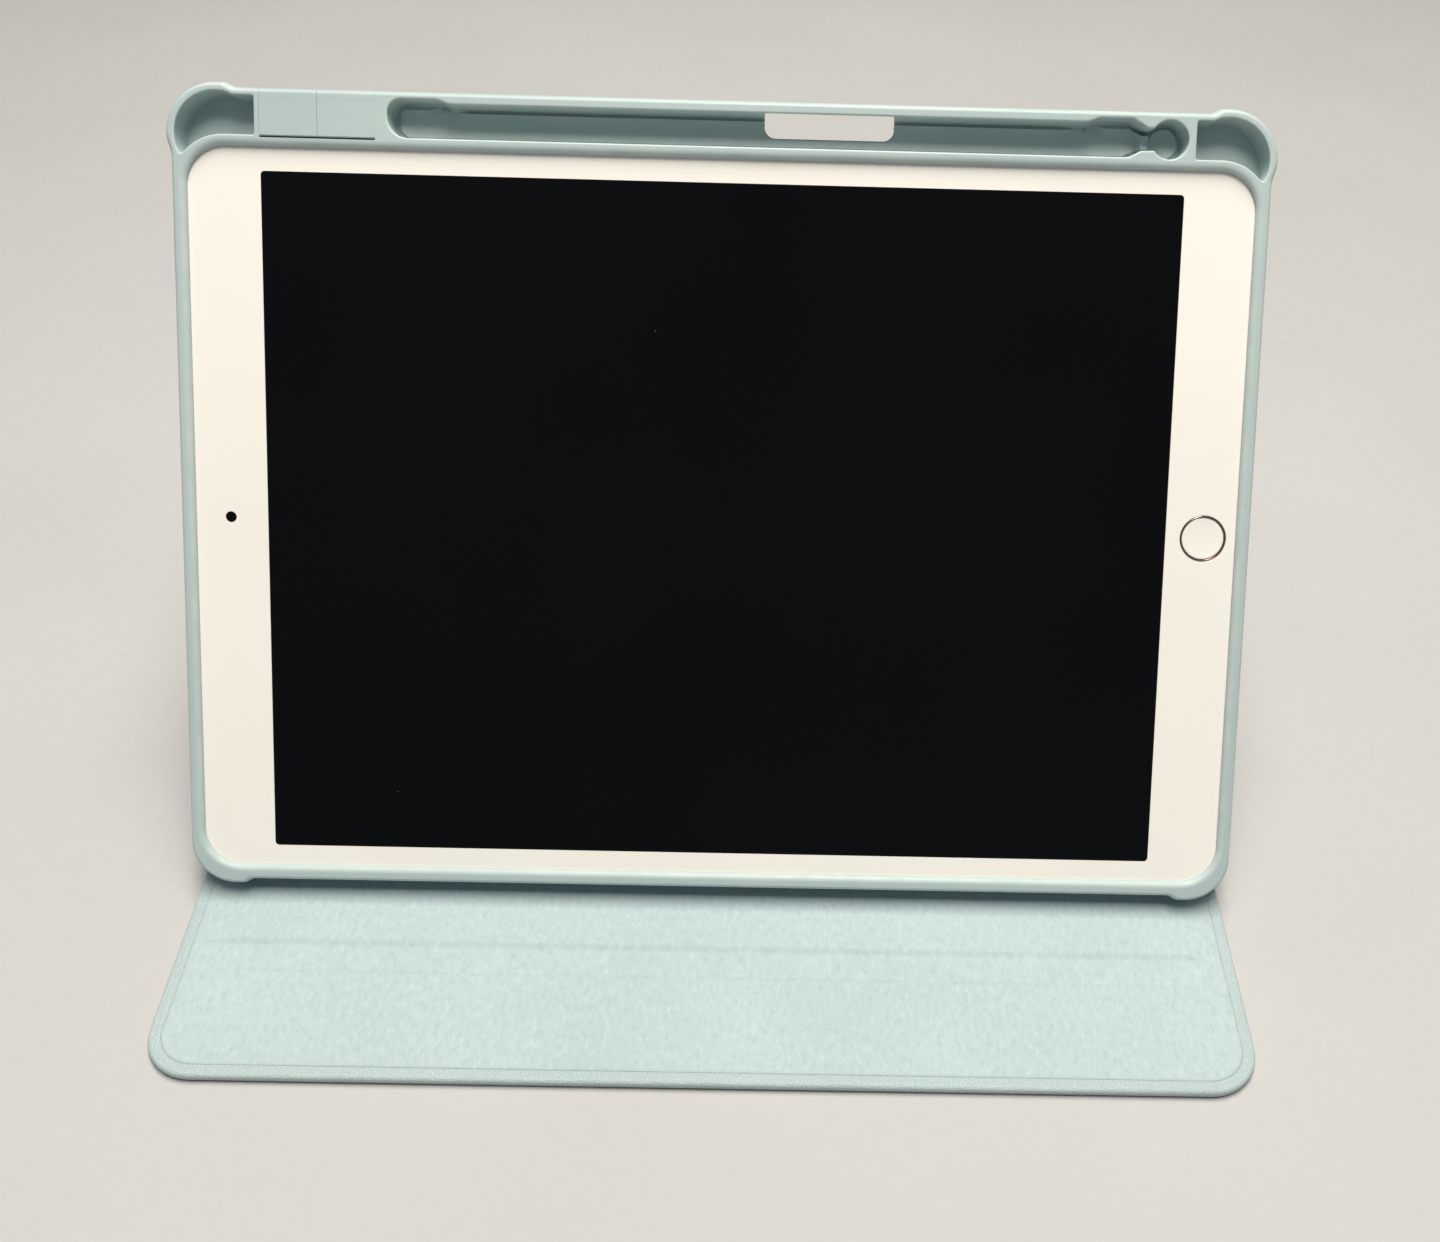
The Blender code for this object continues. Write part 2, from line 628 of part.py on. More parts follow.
COVER_FRAME = empty("cover_frame", (0.0, -FOOTPRINT / 2, PANEL_HALF), 0.0)
SPINE_FRAME = empty("spine_frame", (0.0, COVER_DEPTH, 0.0), 0.0, COVER_FRAME)
LEG_FRAME = empty("leg_frame", (0.0, SPINE_WIDTH, 0.0), LEG_ANGLE, SPINE_FRAME)
CREASE_FRAME = empty("crease_frame", (0.0, LEG_LENGTH, 0.0), LEAN - LEG_ANGLE, LEG_FRAME)
TRAY_FRAME = empty("tray_frame", (0.0, -CREASE_Y, CREASE_BEHIND), 0.0, CREASE_FRAME)

front_cover()
stiff_panel("spine", SPINE_FRAME, HINGE_GAP, SPINE_WIDTH - HINGE_GAP, BACK_HALF_WIDTH)
stiff_panel("leg", LEG_FRAME, HINGE_GAP, LEG_LENGTH - CREASE_GAP, BACK_HALF_WIDTH)
hinge_strips()
back_panel()
tray_shell()
tray_lip()
key_covers()
tablet_housing()
tablet_front()
rear_camera()
tablet_keys()
tablet_inside()
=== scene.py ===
import json
import math

import bmesh
import bpy
import numpy as np
from mathutils import Matrix, Vector
from mathutils.geometry import delaunay_2d_cdt


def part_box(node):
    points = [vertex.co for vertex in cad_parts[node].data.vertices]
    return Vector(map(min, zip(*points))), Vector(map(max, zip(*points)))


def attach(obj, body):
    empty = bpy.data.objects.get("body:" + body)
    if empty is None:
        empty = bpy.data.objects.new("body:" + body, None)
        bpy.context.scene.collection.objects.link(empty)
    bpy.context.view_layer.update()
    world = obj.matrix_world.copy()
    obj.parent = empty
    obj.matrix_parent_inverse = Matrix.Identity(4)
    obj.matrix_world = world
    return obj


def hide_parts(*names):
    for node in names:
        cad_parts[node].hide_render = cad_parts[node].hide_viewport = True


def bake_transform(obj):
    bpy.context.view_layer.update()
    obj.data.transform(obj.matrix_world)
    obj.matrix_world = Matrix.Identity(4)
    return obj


# Looks of the folio stand case and its tablet: moulded tray, folio panels, glass and stage.
# Each piece is drawn in the plane of its panel, ring by ring, and then placed by that panel's frame. Metres.

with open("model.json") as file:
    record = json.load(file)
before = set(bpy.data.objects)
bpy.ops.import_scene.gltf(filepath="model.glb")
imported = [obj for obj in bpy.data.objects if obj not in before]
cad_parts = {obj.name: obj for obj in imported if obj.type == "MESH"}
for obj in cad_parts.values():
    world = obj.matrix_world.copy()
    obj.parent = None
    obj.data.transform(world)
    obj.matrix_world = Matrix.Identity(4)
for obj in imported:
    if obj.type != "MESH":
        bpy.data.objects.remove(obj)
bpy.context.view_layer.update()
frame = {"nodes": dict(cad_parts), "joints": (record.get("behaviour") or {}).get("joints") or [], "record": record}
JOINTS = {joint["name"]: joint for joint in frame["joints"]}

# Tray plane: X to the right, Y up the tray, Z out of the screen, from the tray's back face
TABLET_HALF = Vector((0.1253, 0.08705))
TABLET_CORNER = 0.0105
TABLET_BACK = 0.0019
TABLET_FRONT = 0.0080
DISPLAY_HALF = Vector((0.106985, 0.08024))
DISPLAY_LEVEL = 0.0073
GLASS_LOW = 0.0072
HOME = Vector((0.1161, 0.0))
HOME_RADIUS = 0.0055
FRONT_CAMERA = Vector((-0.1158, 0.0))
TRAY_HALF_WIDTH = 0.1273
TRAY_LOW = -0.0889
TRAY_HIGH = 0.0989
TRAY_DEPTH = 0.0098
TRAY_FLOOR = 0.0016
BUMP = 0.0011
LIP_X = 0.1238
LIP_LOW = -0.0850
LIP_HIGH = 0.0858
TROUGH_LOW = 0.0883
TROUGH_HIGH = 0.0960
TROUGH_WIDE = 0.0970
TROUGH_LEFT = -0.0774
NECK = 0.0978
CAP_POCKET = Vector((0.10265, 0.09245))
CAP_RADIUS = 0.0044
CAMERA_WINDOW = Vector((-0.1148, 0.0765))
VOLUME_X = (-0.10008, -0.08672)
VOLUME_LENGTH = 0.01305
SLIT_LOW = 0.0876
POWER_Y = 0.0620
PORT_LEVELS = (0.0019, 0.0083)
SPEAKER_LEVELS = (0.0032, 0.0066)
JACK_Y = -0.0755
SPEAKER_Y = (-0.0530, 0.0530)
KEY_LEVELS = (0.0040, 0.0058)
KEY_LEVEL = 0.0049
KEY_HALF_LENGTH = 0.0050

# Corners of the finger slot, and the part of it that runs under the tray's back wall
SLOT_X = (0.0089, 0.03935)
SLOT_LOW = 0.09165
UNDERCUT = (0.0943, 0.0977)

# Cavities in the upper corners: from the band round the tablet up to the outer wall
CAVITY_LOW = 0.08815
CAVITY_HIGH = 0.0969
CAVITY_INNER = (0.1088, 0.1078)

# Folio panels
PANEL = 0.0025
COVER_HALF_WIDTH = 0.1270
COVER_DEPTH = 0.1880
HINGE_GAP = 0.0026
CREASE_GAP = 0.0025
LEG_HALF_WIDTH = 0.1250
BACK_TOP = 0.0870
CREASE_BEHIND = 0.00155
GROOVES = (0.0323, 0.0570)
GROOVE_HALF = Vector((0.1195, 0.0041))
GROOVE_DEPTH = 0.0007
COVER_RIM = 0.0030
RIM_DIP = 0.00022


# Frames of the panels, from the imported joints


def place(origin, along, out):
    """Frame with X along the hinges, Y along the panel and Z out of its inner face."""
    columns = (Vector((1.0, 0.0, 0.0)), along, out, origin)
    return Matrix([[column[row] for column in columns] for row in range(3)] + [[0.0, 0.0, 0.0, 1.0]])


def panel_place(origin, towards):
    along = (towards - origin).normalized()
    return place(origin, along, Vector((1.0, 0.0, 0.0)).cross(along))


TRAY_OUT = Vector(JOINTS["tablet_lift"]["axis"])
TRAY_UP = -Vector(JOINTS["volume_up_press"]["axis"])
SCREEN_LOW, SCREEN_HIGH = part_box("display_panel")
TRAY = place((SCREEN_LOW + SCREEN_HIGH) / 2 - TRAY_OUT * DISPLAY_LEVEL, TRAY_UP, TRAY_OUT)
FRONT_HINGE = Vector(JOINTS["cover_fold"]["pos_m"])
REAR_HINGE = Vector(JOINTS["stand_unfold"]["pos_m"])
CREASE = Vector(JOINTS["crease_unfold"]["pos_m"])
COVER = place(FRONT_HINGE - Vector((0.0, COVER_DEPTH, PANEL / 2)), Vector((0, 1, 0)), Vector((0, 0, 1)))
SPINE = panel_place(FRONT_HINGE, REAR_HINGE) @ Matrix.Translation((0.0, 0.0, -PANEL / 2))
LEG = panel_place(REAR_HINGE, CREASE) @ Matrix.Translation((0.0, 0.0, -PANEL / 2))
SPINE_WIDTH = (REAR_HINGE - FRONT_HINGE).length
LEG_LENGTH = (CREASE - REAR_HINGE).length
CREASE_Y = (TRAY.inverted() @ CREASE).y
BACK = TRAY @ Matrix.Translation((0.0, 0.0, -CREASE_BEHIND - PANEL / 2))


# Outlines: arrays of points, anticlockwise


def tidy(points):
    """Outline as an array, without repeated points."""
    loop = np.array([(p[0], p[1]) for p in points], float)
    step = np.linalg.norm(loop - np.roll(loop, 1, 0), axis=1)
    loop = loop[step > 1e-6]
    after = np.roll(loop, -1, 0)
    area = (loop[:, 0] * after[:, 1] - after[:, 0] * loop[:, 1]).sum()
    return loop if area > 0 else loop[::-1].copy()


def rounded(corners, steps=8):
    """Outline through corners (x, y, radius), each one turned with an arc."""
    points = []
    for index, (x, y, radius) in enumerate(corners):
        here = Vector((x, y))
        before = (Vector(corners[index - 1][:2]) - here).normalized()
        after = (Vector(corners[(index + 1) % len(corners)][:2]) - here).normalized()
        if radius == 0:
            points.append(here)
            continue
        half = before.angle(after) / 2
        centre = here + (before + after).normalized() * radius / math.sin(half)
        first = here + before * radius / math.tan(half) - centre
        last = here + after * radius / math.tan(half) - centre
        sweep = first.angle_signed(last)
        for step in range(steps + 1):
            points.append(centre + Matrix.Rotation(-sweep * step / steps, 2) @ first)
    return tidy(points)


def box_outline(low, high, radius, steps=8):
    corners = ((low[0], low[1]), (high[0], low[1]), (high[0], high[1]), (low[0], high[1]))
    return rounded([(x, y, radius) for x, y in corners], steps)


def centred(half_x, half_y, radius, steps=12):
    return box_outline((-half_x, -half_y), (half_x, half_y), radius, steps)


def arc(centre, radius, start, end, steps):
    """Points on a circle between two angles in degrees."""
    angles = [math.radians(start + (end - start) * i / steps) for i in range(steps + 1)]
    return [Vector((centre[0] + radius * math.cos(a), centre[1] + radius * math.sin(a))) for a in angles]


def circle(centre, radius, steps=64):
    return tidy(arc(centre, radius, 0, 360, steps)[:-1])


def offset(loop, distance):
    """The outline moved inwards by distance, or outwards where it is negative."""
    edge = np.roll(loop, -1, 0) - loop
    edge /= np.linalg.norm(edge, axis=1)[:, None]
    left = np.stack((-edge[:, 1], edge[:, 0]), 1)
    before = np.roll(left, 1, 0)
    return loop + distance * (left + before) / (1 + (left * before).sum(1))[:, None]


def inside(points, loop):
    """Which points lie within the outline."""
    x, y = points[:, 0][:, None], points[:, 1][:, None]
    a, b = loop, np.roll(loop, -1, 0)
    spans = (a[:, 1] > y) != (b[:, 1] > y)
    rise = np.where(b[:, 1] == a[:, 1], 1.0, b[:, 1] - a[:, 1])
    crossing = a[:, 0] + (y - a[:, 1]) * (b[:, 0] - a[:, 0]) / rise
    return (spans & (x < crossing)).sum(1) % 2 == 1


def gap_to(points, loop):
    """Distance from each point to the outline."""
    a, b = loop, np.roll(loop, -1, 0)
    run = b - a
    along = ((points[:, None] - a) * run).sum(2) / (run * run).sum(1)
    nearest = a + np.clip(along, 0, 1)[:, :, None] * run
    return np.linalg.norm(points[:, None] - nearest, axis=2).min(1)


def smooth(value):
    value = np.clip(value, 0.0, 1.0)
    return value * value * (3 - 2 * value)


# Profiles: steps of (inset, level, wear)


def turn(start, end, steps=5, upright_first=True, wear=0.0):
    """Quarter ellipse between two (inset, level) points, which leaves the first one upright or flat."""
    made = []
    for step in range(steps + 1):
        angle = math.pi / 2 * step / steps
        rounding, running = 1 - math.cos(angle), math.sin(angle)
        across, upward = (rounding, running) if upright_first else (running, rounding)
        made.append(
            (
                start[0] + (end[0] - start[0]) * across,
                start[1] + (end[1] - start[1]) * upward,
                wear * math.sin(2 * angle),
            )
        )
    return made


class Shape:
    """A closed mesh, drawn ring by ring in its own plane. Its vertices carry how worn they are."""

    def __init__(self):
        self.mesh = bmesh.new()
        self.wear = self.mesh.verts.layers.float.new("wear")

    def ring(self, loop, level, wear=0.0):
        verts = [self.mesh.verts.new((x, y, level)) for x, y in loop]
        for vert in verts:
            vert[self.wear] = wear
        return verts

    def bridge(self, first, second):
        for index in range(len(first)):
            self.mesh.faces.new((first[index - 1], first[index], second[index], second[index - 1]))

    def loft(self, loop, profile):
        """Surface through copies of one outline, each inset and raised. Returns its first and last rings."""
        at = loop if callable(loop) else lambda inset: offset(loop, inset)
        rings = [self.ring(at(inset), level, wear) for inset, level, wear in profile]
        for first, second in zip(rings, rings[1:]):
            self.bridge(first, second)
        return rings[0], rings[-1]

    def cap(self, rings, points=None, height=None):
        """Face between an outer ring and the rings within it, with points of its own at a height."""
        verts = [vert for ring in rings for vert in ring]
        if points is not None and len(points):
            levels = height(points)
            verts += [self.mesh.verts.new((p[0], p[1], z)) for p, z in zip(points, levels)]
        edges = []
        start = 0
        for ring in rings:
            edges += [(start + i, start + (i + 1) % len(ring)) for i in range(len(ring))]
            start += len(ring)
        flat = [vert.co.xy for vert in verts]
        _, _, faces, sources, _, _ = delaunay_2d_cdt(flat, edges, [], 0, 1e-9)
        corners = np.array([[sources[i][0] for i in face] for face in faces])
        places = np.array([tuple(p) for p in flat])
        middles = places[corners].mean(1)
        loops = [np.array([tuple(vert.co.xy) for vert in ring]) for ring in rings]
        kept = inside(middles, loops[0])
        for hole in loops[1:]:
            kept &= ~inside(middles, hole)
        for face in corners[kept]:
            self.mesh.faces.new([verts[i] for i in face])

    def piece(self, name, where, finish, sharp=40.0):
        bmesh.ops.recalc_face_normals(self.mesh, faces=self.mesh.faces)
        data = bpy.data.meshes.new(name)
        self.mesh.to_mesh(data)
        self.mesh.free()
        data.transform(where)
        if where.determinant() < 0:
            data.flip_normals()
        data.materials.append(finish)
        made = bpy.data.objects.new(name, data)
        bpy.context.scene.collection.objects.link(made)
        finish_shading(made, sharp)
        return made


def finish_shading(obj, sharp):
    """Smooth faces, with the edges that turn further than sharp degrees left hard."""
    shape = bmesh.new()
    shape.from_mesh(obj.data)
    for face in shape.faces:
        face.smooth = True
    for edge in shape.edges:
        edge.smooth = edge.calc_face_angle(math.pi) < math.radians(sharp)
    shape.to_mesh(obj.data)
    shape.free()
    weighted = obj.modifiers.new("weighted", "WEIGHTED_NORMAL")
    weighted.keep_sharp = True
    weighted.weight = 80


def carve(obj, cutters, sharp=40.0):
    """Takes the cutters out of the piece and leaves a plain mesh."""
    obj.modifiers.clear()
    for cutter in cutters:
        step = obj.modifiers.new("carve", "BOOLEAN")
        step.operation = "DIFFERENCE"
        step.solver = "EXACT"
        step.object = cutter
    bpy.context.view_layer.update()
    carved = bpy.data.meshes.new_from_object(obj.evaluated_get(bpy.context.evaluated_depsgraph_get()))
    obj.modifiers.clear()
    name = obj.data.name
    obj.data = carved
    carved.name = name
    while len(carved.materials) > 1:
        carved.materials.pop(index=1)
    for cutter in cutters:
        bpy.data.objects.remove(cutter)
    finish_shading(obj, sharp)


def slab(name, outline, low, high, where, finish, edge=0.0004, wear=0.0, steps=4):
    """Plate with rounded edges between two levels."""
    shape = Shape()
    profile = turn((edge, low), (0.0, low + edge), steps, False, wear)
    profile += turn((0.0, high - edge), (edge, high), steps, True, wear)
    first, last = shape.loft(outline, profile)
    shape.cap([first])
    shape.cap([last])
    return shape.piece(name, where, finish)


def trumpet(name, outline, low, high, where, flare_low, flare_high, deep=None):
    """Cutter for a hole whose mouths are rounded outwards; deep is how far down the upper mouth starts."""
    shape = Shape()
    past = 0.0002
    profile = [(-flare_low, low - past, 0.0)]
    if flare_low:
        profile += turn((-flare_low, low), (0.0, low + flare_low), 5, False)
    if flare_high:
        profile += turn((0.0, high - (deep or flare_high)), (-flare_high, high), 6, True)
    profile += [(-flare_high, high + past, 0.0)]
    first, last = shape.loft(outline, profile)
    shape.cap([first])
    shape.cap([last])
    return shape.piece(name, where, FINISHES["mint_tpu"])


def lattice(xs, ys, loop, margin):
    """Points of a grid that lie within the outline, clear of its edge."""
    grid = np.array([(x, y) for x in xs for y in ys], float)
    grid = grid[inside(grid, loop)]
    return grid[gap_to(grid, loop) > margin]


def own(obj, body, slot, *nodes):
    """The piece rides on a body and stands for CAD nodes, which are hidden. The slot is not used."""
    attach(obj, body)
    if nodes:
        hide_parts(*nodes)
    return obj


# Materials


class Finish:
    """A Principled material and the nodes that feed it."""

    def __init__(self, name, **constants):
        self.material = bpy.data.materials.new(name)
        self.material.use_nodes = True
        self.tree = self.material.node_tree
        self.shader = self.tree.nodes["Principled BSDF"]
        self.coordinates = self.tree.nodes.new("ShaderNodeTexCoord").outputs["Object"]
        for socket, value in constants.items():
            self.shader.inputs[socket.replace("_", " ")].default_value = value

    def link(self, source, target):
        if isinstance(source, (int, float)):
            target.default_value = source
        elif isinstance(source, tuple):
            target.default_value = (*source, 1.0)
        else:
            self.tree.links.new(source, target)

    def stretched(self, x, y, z):
        node = self.tree.nodes.new("ShaderNodeMapping")
        node.inputs["Scale"].default_value = (x, y, z)
        self.tree.links.new(self.coordinates, node.inputs["Vector"])
        return node.outputs["Vector"]

    def noise(self, size, detail=3.0, roughness=0.5, where=None):
        """Noise with features of about the given size."""
        node = self.tree.nodes.new("ShaderNodeTexNoise")
        node.inputs["Scale"].default_value = 1.0 / size
        node.inputs["Detail"].default_value = detail
        node.inputs["Roughness"].default_value = roughness
        self.tree.links.new(where or self.coordinates, node.inputs["Vector"])
        return node.outputs["Fac"]

    def cells(self, size, feature="F1", output="Distance"):
        node = self.tree.nodes.new("ShaderNodeTexVoronoi")
        node.feature = feature
        node.inputs["Scale"].default_value = 1.0 / size
        self.tree.links.new(self.coordinates, node.inputs["Vector"])
        return node.outputs[output]

    def range(self, source, low, high, to_low, to_high):
        node = self.tree.nodes.new("ShaderNodeMapRange")
        values = (low, high, to_low, to_high)
        for socket, value in zip(("From Min", "From Max", "To Min", "To Max"), values):
            node.inputs[socket].default_value = value
        self.tree.links.new(source, node.inputs["Value"])
        return node.outputs["Result"]

    def sum(self, first, second, operation="ADD"):
        node = self.tree.nodes.new("ShaderNodeMath")
        node.operation = operation
        self.link(first, node.inputs[0])
        self.link(second, node.inputs[1])
        return node.outputs["Value"]

    def mix(self, factor, first, second):
        node = self.tree.nodes.new("ShaderNodeMix")
        node.data_type = "RGBA"
        self.link(factor, node.inputs["Factor"])
        self.link(first, node.inputs[6])
        self.link(second, node.inputs[7])
        return node.outputs[2]

    def attribute(self, name):
        node = self.tree.nodes.new("ShaderNodeAttribute")
        node.attribute_name = name
        return node.outputs["Fac"]

    def bump(self, height, depth, strength=1.0):
        node = self.tree.nodes.new("ShaderNodeBump")
        node.inputs["Strength"].default_value = strength
        node.inputs["Distance"].default_value = depth
        self.tree.links.new(height, node.inputs["Height"])
        self.tree.links.new(node.outputs["Normal"], self.shader.inputs["Normal"])

    def colour(self, source):
        self.link(source, self.shader.inputs["Base Color"])

    def roughness(self, source):
        self.link(source, self.shader.inputs["Roughness"])


def soft_moulding():
    """Mint TPU: silky and matt, paler where edges are rubbed, with faint cloudy streaks."""
    made = Finish("mint_tpu", Sheen_Weight=0.06, Sheen_Roughness=0.5, Specular_IOR_Level=0.42)
    cloud = made.range(made.noise(0.035, 3.0), 0.3, 0.7, 0.0, 1.0)
    tone = made.mix(cloud, (0.415, 0.515, 0.520), (0.445, 0.540, 0.535))
    fine = made.range(made.noise(0.0011, 4.0, 0.65), 0.35, 0.7, 0.0, 0.10)
    tone = made.mix(fine, tone, (0.55, 0.64, 0.63))
    patches = made.range(made.noise(0.006, 4.0), 0.3, 0.7, 0.25, 1.0)
    rubbed = made.sum(made.attribute("wear"), patches, "MULTIPLY")
    made.colour(made.mix(rubbed, tone, (0.56, 0.64, 0.61)))
    made.roughness(made.range(made.noise(0.004, 5.0, 0.6), 0.3, 0.7, 0.40, 0.54))
    made.bump(made.noise(0.00022, 3.0, 0.6), 0.00002, 0.55)
    return made.material


def grained_skin():
    """Mint synthetic leather: small pebbles, deeper creases between them, paler along the rolled edges."""
    made = Finish("mint_skin", Sheen_Weight=0.10, Sheen_Roughness=0.45, Specular_IOR_Level=0.45)
    cloud = made.range(made.noise(0.05, 4.0), 0.3, 0.7, 0.0, 1.0)
    tone = made.mix(cloud, (0.430, 0.530, 0.540), (0.460, 0.560, 0.565))
    pebbles = made.cells(0.00075, "DISTANCE_TO_EDGE")
    valley = made.range(pebbles, 0.0, 0.16, 1.0, 0.0)
    tone = made.mix(made.sum(valley, 0.42, "MULTIPLY"), tone, (0.28, 0.37, 0.38))
    patches = made.range(made.noise(0.008, 4.0), 0.3, 0.7, 0.3, 1.0)
    rubbed = made.sum(made.attribute("wear"), patches, "MULTIPLY")
    made.colour(made.mix(rubbed, tone, (0.52, 0.61, 0.60)))
    made.roughness(made.range(made.noise(0.003, 4.0), 0.3, 0.7, 0.46, 0.62))
    height = made.sum(made.range(pebbles, 0.0, 0.22, 0.0, 1.0), made.noise(0.00020, 3.0))
    made.bump(height, 0.00009, 0.8)
    return made.material


def microfibre():
    """Short mint nap: mottled flecks where it lies over, a soft sheen, and flattened by the pressed lines."""
    made = Finish("mint_microfibre", Sheen_Weight=0.15, Sheen_Roughness=0.6, Specular_IOR_Level=0.18)
    cloud = made.range(made.noise(0.045, 4.0), 0.3, 0.7, 0.0, 1.0)
    tone = made.mix(cloud, (0.425, 0.530, 0.550), (0.460, 0.560, 0.580))
    brushed = made.stretched(1.0, 0.55, 1.0)
    fleck = made.noise(0.0013, 4.0, 0.7, brushed)
    tone = made.mix(made.range(fleck, 0.52, 0.70, 0.0, 0.60), tone, (0.34, 0.45, 0.47))
    tone = made.mix(made.range(fleck, 0.30, 0.46, 0.40, 0.0), tone, (0.58, 0.69, 0.70))
    pressed = made.sum(made.attribute("wear"), 0.4, "MULTIPLY")
    made.colour(made.mix(pressed, tone, (0.35, 0.46, 0.48)))
    made.roughness(made.range(made.noise(0.002, 4.0), 0.3, 0.7, 0.84, 0.97))
    fibres = made.noise(0.00016, 4.0, 0.7)
    height = made.sum(made.sum(fleck, 2.0, "MULTIPLY"), fibres)
    made.bump(height, 0.00009, 0.7)
    return made.material


def white_glass():
    """White paint under glass, with faint finger marks in the gloss."""
    made = Finish("white_glass", IOR=1.5, Coat_Weight=0.25, Coat_Roughness=0.03)
    cloud = made.range(made.noise(0.05, 3.0), 0.3, 0.7, 0.0, 1.0)
    tone = made.mix(cloud, (0.920, 0.885, 0.830), (0.940, 0.905, 0.850))
    speck = made.range(made.noise(0.0022, 5.0, 0.7), 0.66, 0.75, 0.0, 0.25)
    made.colour(made.mix(speck, tone, (0.70, 0.67, 0.62)))
    smear = made.noise(0.012, 5.0, 0.65, made.stretched(1.0, 0.4, 1.0))
    made.roughness(made.range(smear, 0.35, 0.7, 0.10, 0.22))
    made.bump(made.noise(0.03, 2.0), 0.00001, 0.2)
    return made.material


def black_glass():
    """Screen that is off: deep gloss, a few specks of dust and wiped smears."""
    made = Finish("black_glass", IOR=1.5, Specular_IOR_Level=0.22)
    tone = made.mix(made.noise(0.08, 2.0), (0.0016, 0.0016, 0.0018), (0.0030, 0.0030, 0.0034))
    dust = made.range(made.cells(0.009), 0.0, 0.022, 1.0, 0.0)
    chosen = made.range(made.cells(0.009, output="Color"), 0.62, 0.66, 0.0, 1.0)
    speck = made.sum(made.sum(dust, chosen, "MULTIPLY"), 0.5, "MULTIPLY")
    made.colour(made.mix(speck, tone, (0.45, 0.45, 0.44)))
    smear = made.noise(0.03, 5.0, 0.6, made.stretched(1.0, 0.45, 1.0))
    made.roughness(made.range(smear, 0.35, 0.7, 0.05, 0.12))
    made.bump(made.noise(0.05, 2.0), 0.00001, 0.1)
    return made.material


def plain_finish(name, low, high, rough, metallic, size, depth, stretch=None):
    """Finish with a fine grain between two tones."""
    made = Finish(name, Metallic=metallic)
    where = made.stretched(*stretch) if stretch else None
    grain = made.noise(size, 4.0, 0.6, where)
    cloud = made.noise(size * 30, 3.0)
    mixed = made.sum(made.sum(grain, cloud), 0.5, "MULTIPLY")
    tone = made.mix(made.range(mixed, 0.35, 0.65, 0.0, 1.0), low, high)
    worn = made.sum(made.attribute("wear"), 0.4, "MULTIPLY")
    made.colour(made.mix(worn, tone, tuple(min(1.0, value * 1.35 + 0.02) for value in high)))
    made.roughness(made.range(grain, 0.3, 0.7, rough - 0.06, rough + 0.08))
    made.bump(grain, depth, 0.5)
    return made.material


# Two tones, roughness, metallic, grain size, grain depth, and how the grain is stretched
PLAIN = {
    "grey_board": ((0.36, 0.33, 0.29), (0.50, 0.47, 0.42), 0.82, 0.0, 0.0012, 0.00008),
    "magnet": ((0.50, 0.50, 0.51), (0.62, 0.62, 0.63), 0.34, 1.0, 0.0004, 0.00001, (1, 9, 1)),
    "adhesive": ((0.74, 0.72, 0.64), (0.84, 0.82, 0.74), 0.55, 0.0, 0.0016, 0.00004),
    "anodised_aluminium": ((0.74, 0.66, 0.60), (0.82, 0.74, 0.68), 0.36, 1.0, 0.00016, 0.00001),
    "ring_metal": ((0.25, 0.16, 0.15), (0.36, 0.24, 0.22), 0.22, 1.0, 0.0003, 0.000005),
    "battery_wrap": ((0.05, 0.05, 0.055), (0.11, 0.11, 0.12), 0.46, 0.3, 0.0009, 0.00002),
    "circuit_board": ((0.02, 0.13, 0.07), (0.05, 0.22, 0.13), 0.42, 0.0, 0.0013, 0.00002),
    "speaker_plastic": ((0.03, 0.03, 0.03), (0.06, 0.06, 0.06), 0.60, 0.0, 0.0008, 0.00002),
}

FINISHES = {
    "mint_skin": grained_skin(),
    "mint_microfibre": microfibre(),
    "mint_tpu": soft_moulding(),
    "white_glass": white_glass(),
    "black_glass": black_glass(),
    **{name: plain_finish(name, *values) for name, values in PLAIN.items()},
}


# Tray


def tray_outline():
    """Outer edge of the tray: full bumpers at its upper corners, and low ones under it."""
    side = TRAY_HALF_WIDTH
    bump = side + BUMP
    low = TRAY_LOW - BUMP
    high = TRAY_HIGH + BUMP
    right = [
        (0.1124, TRAY_LOW, 0.0020),
        (0.1144, low, 0.0020),
        (side, low, 0.0108),
        (side, high - 0.0166, 0.0060),
        (bump, high - 0.0127, 0.0055),
        (bump, high, 0.0117),
        (0.1146, high, 0.0020),
        (0.1124, TRAY_HIGH, 0.0020),
    ]
    left = [(-x, y, radius) for x, y, radius in reversed(right)]
    return rounded(right + left, 12)


def trough_outline():
    """Stylus trough: a long channel, a pinched neck and a round pocket for the cap."""
    channel = [
        (TROUGH_LEFT, TROUGH_WIDE, 0.0032),
        (TROUGH_LEFT, TROUGH_LOW, 0.0046),
        (0.0932, TROUGH_LOW, 0.0030),
        (0.0959, 0.0898, 0.0020),
    ]
    cap = arc(CAP_POCKET, CAP_RADIUS, -145, 145, 40)
    back = [
        (0.0976, 0.0949, 0.0010),
        (0.0940, TROUGH_WIDE, 0.0014),
        (0.0862, TROUGH_WIDE, 0.0030),
        (0.0836, TROUGH_HIGH, 0.0030),
        (-0.0634, TROUGH_HIGH, 0.0030),
        (-0.0660, TROUGH_WIDE, 0.0030),
    ]
    return rounded(channel + [(p[0], p[1], 0) for p in cap] + back, 7)


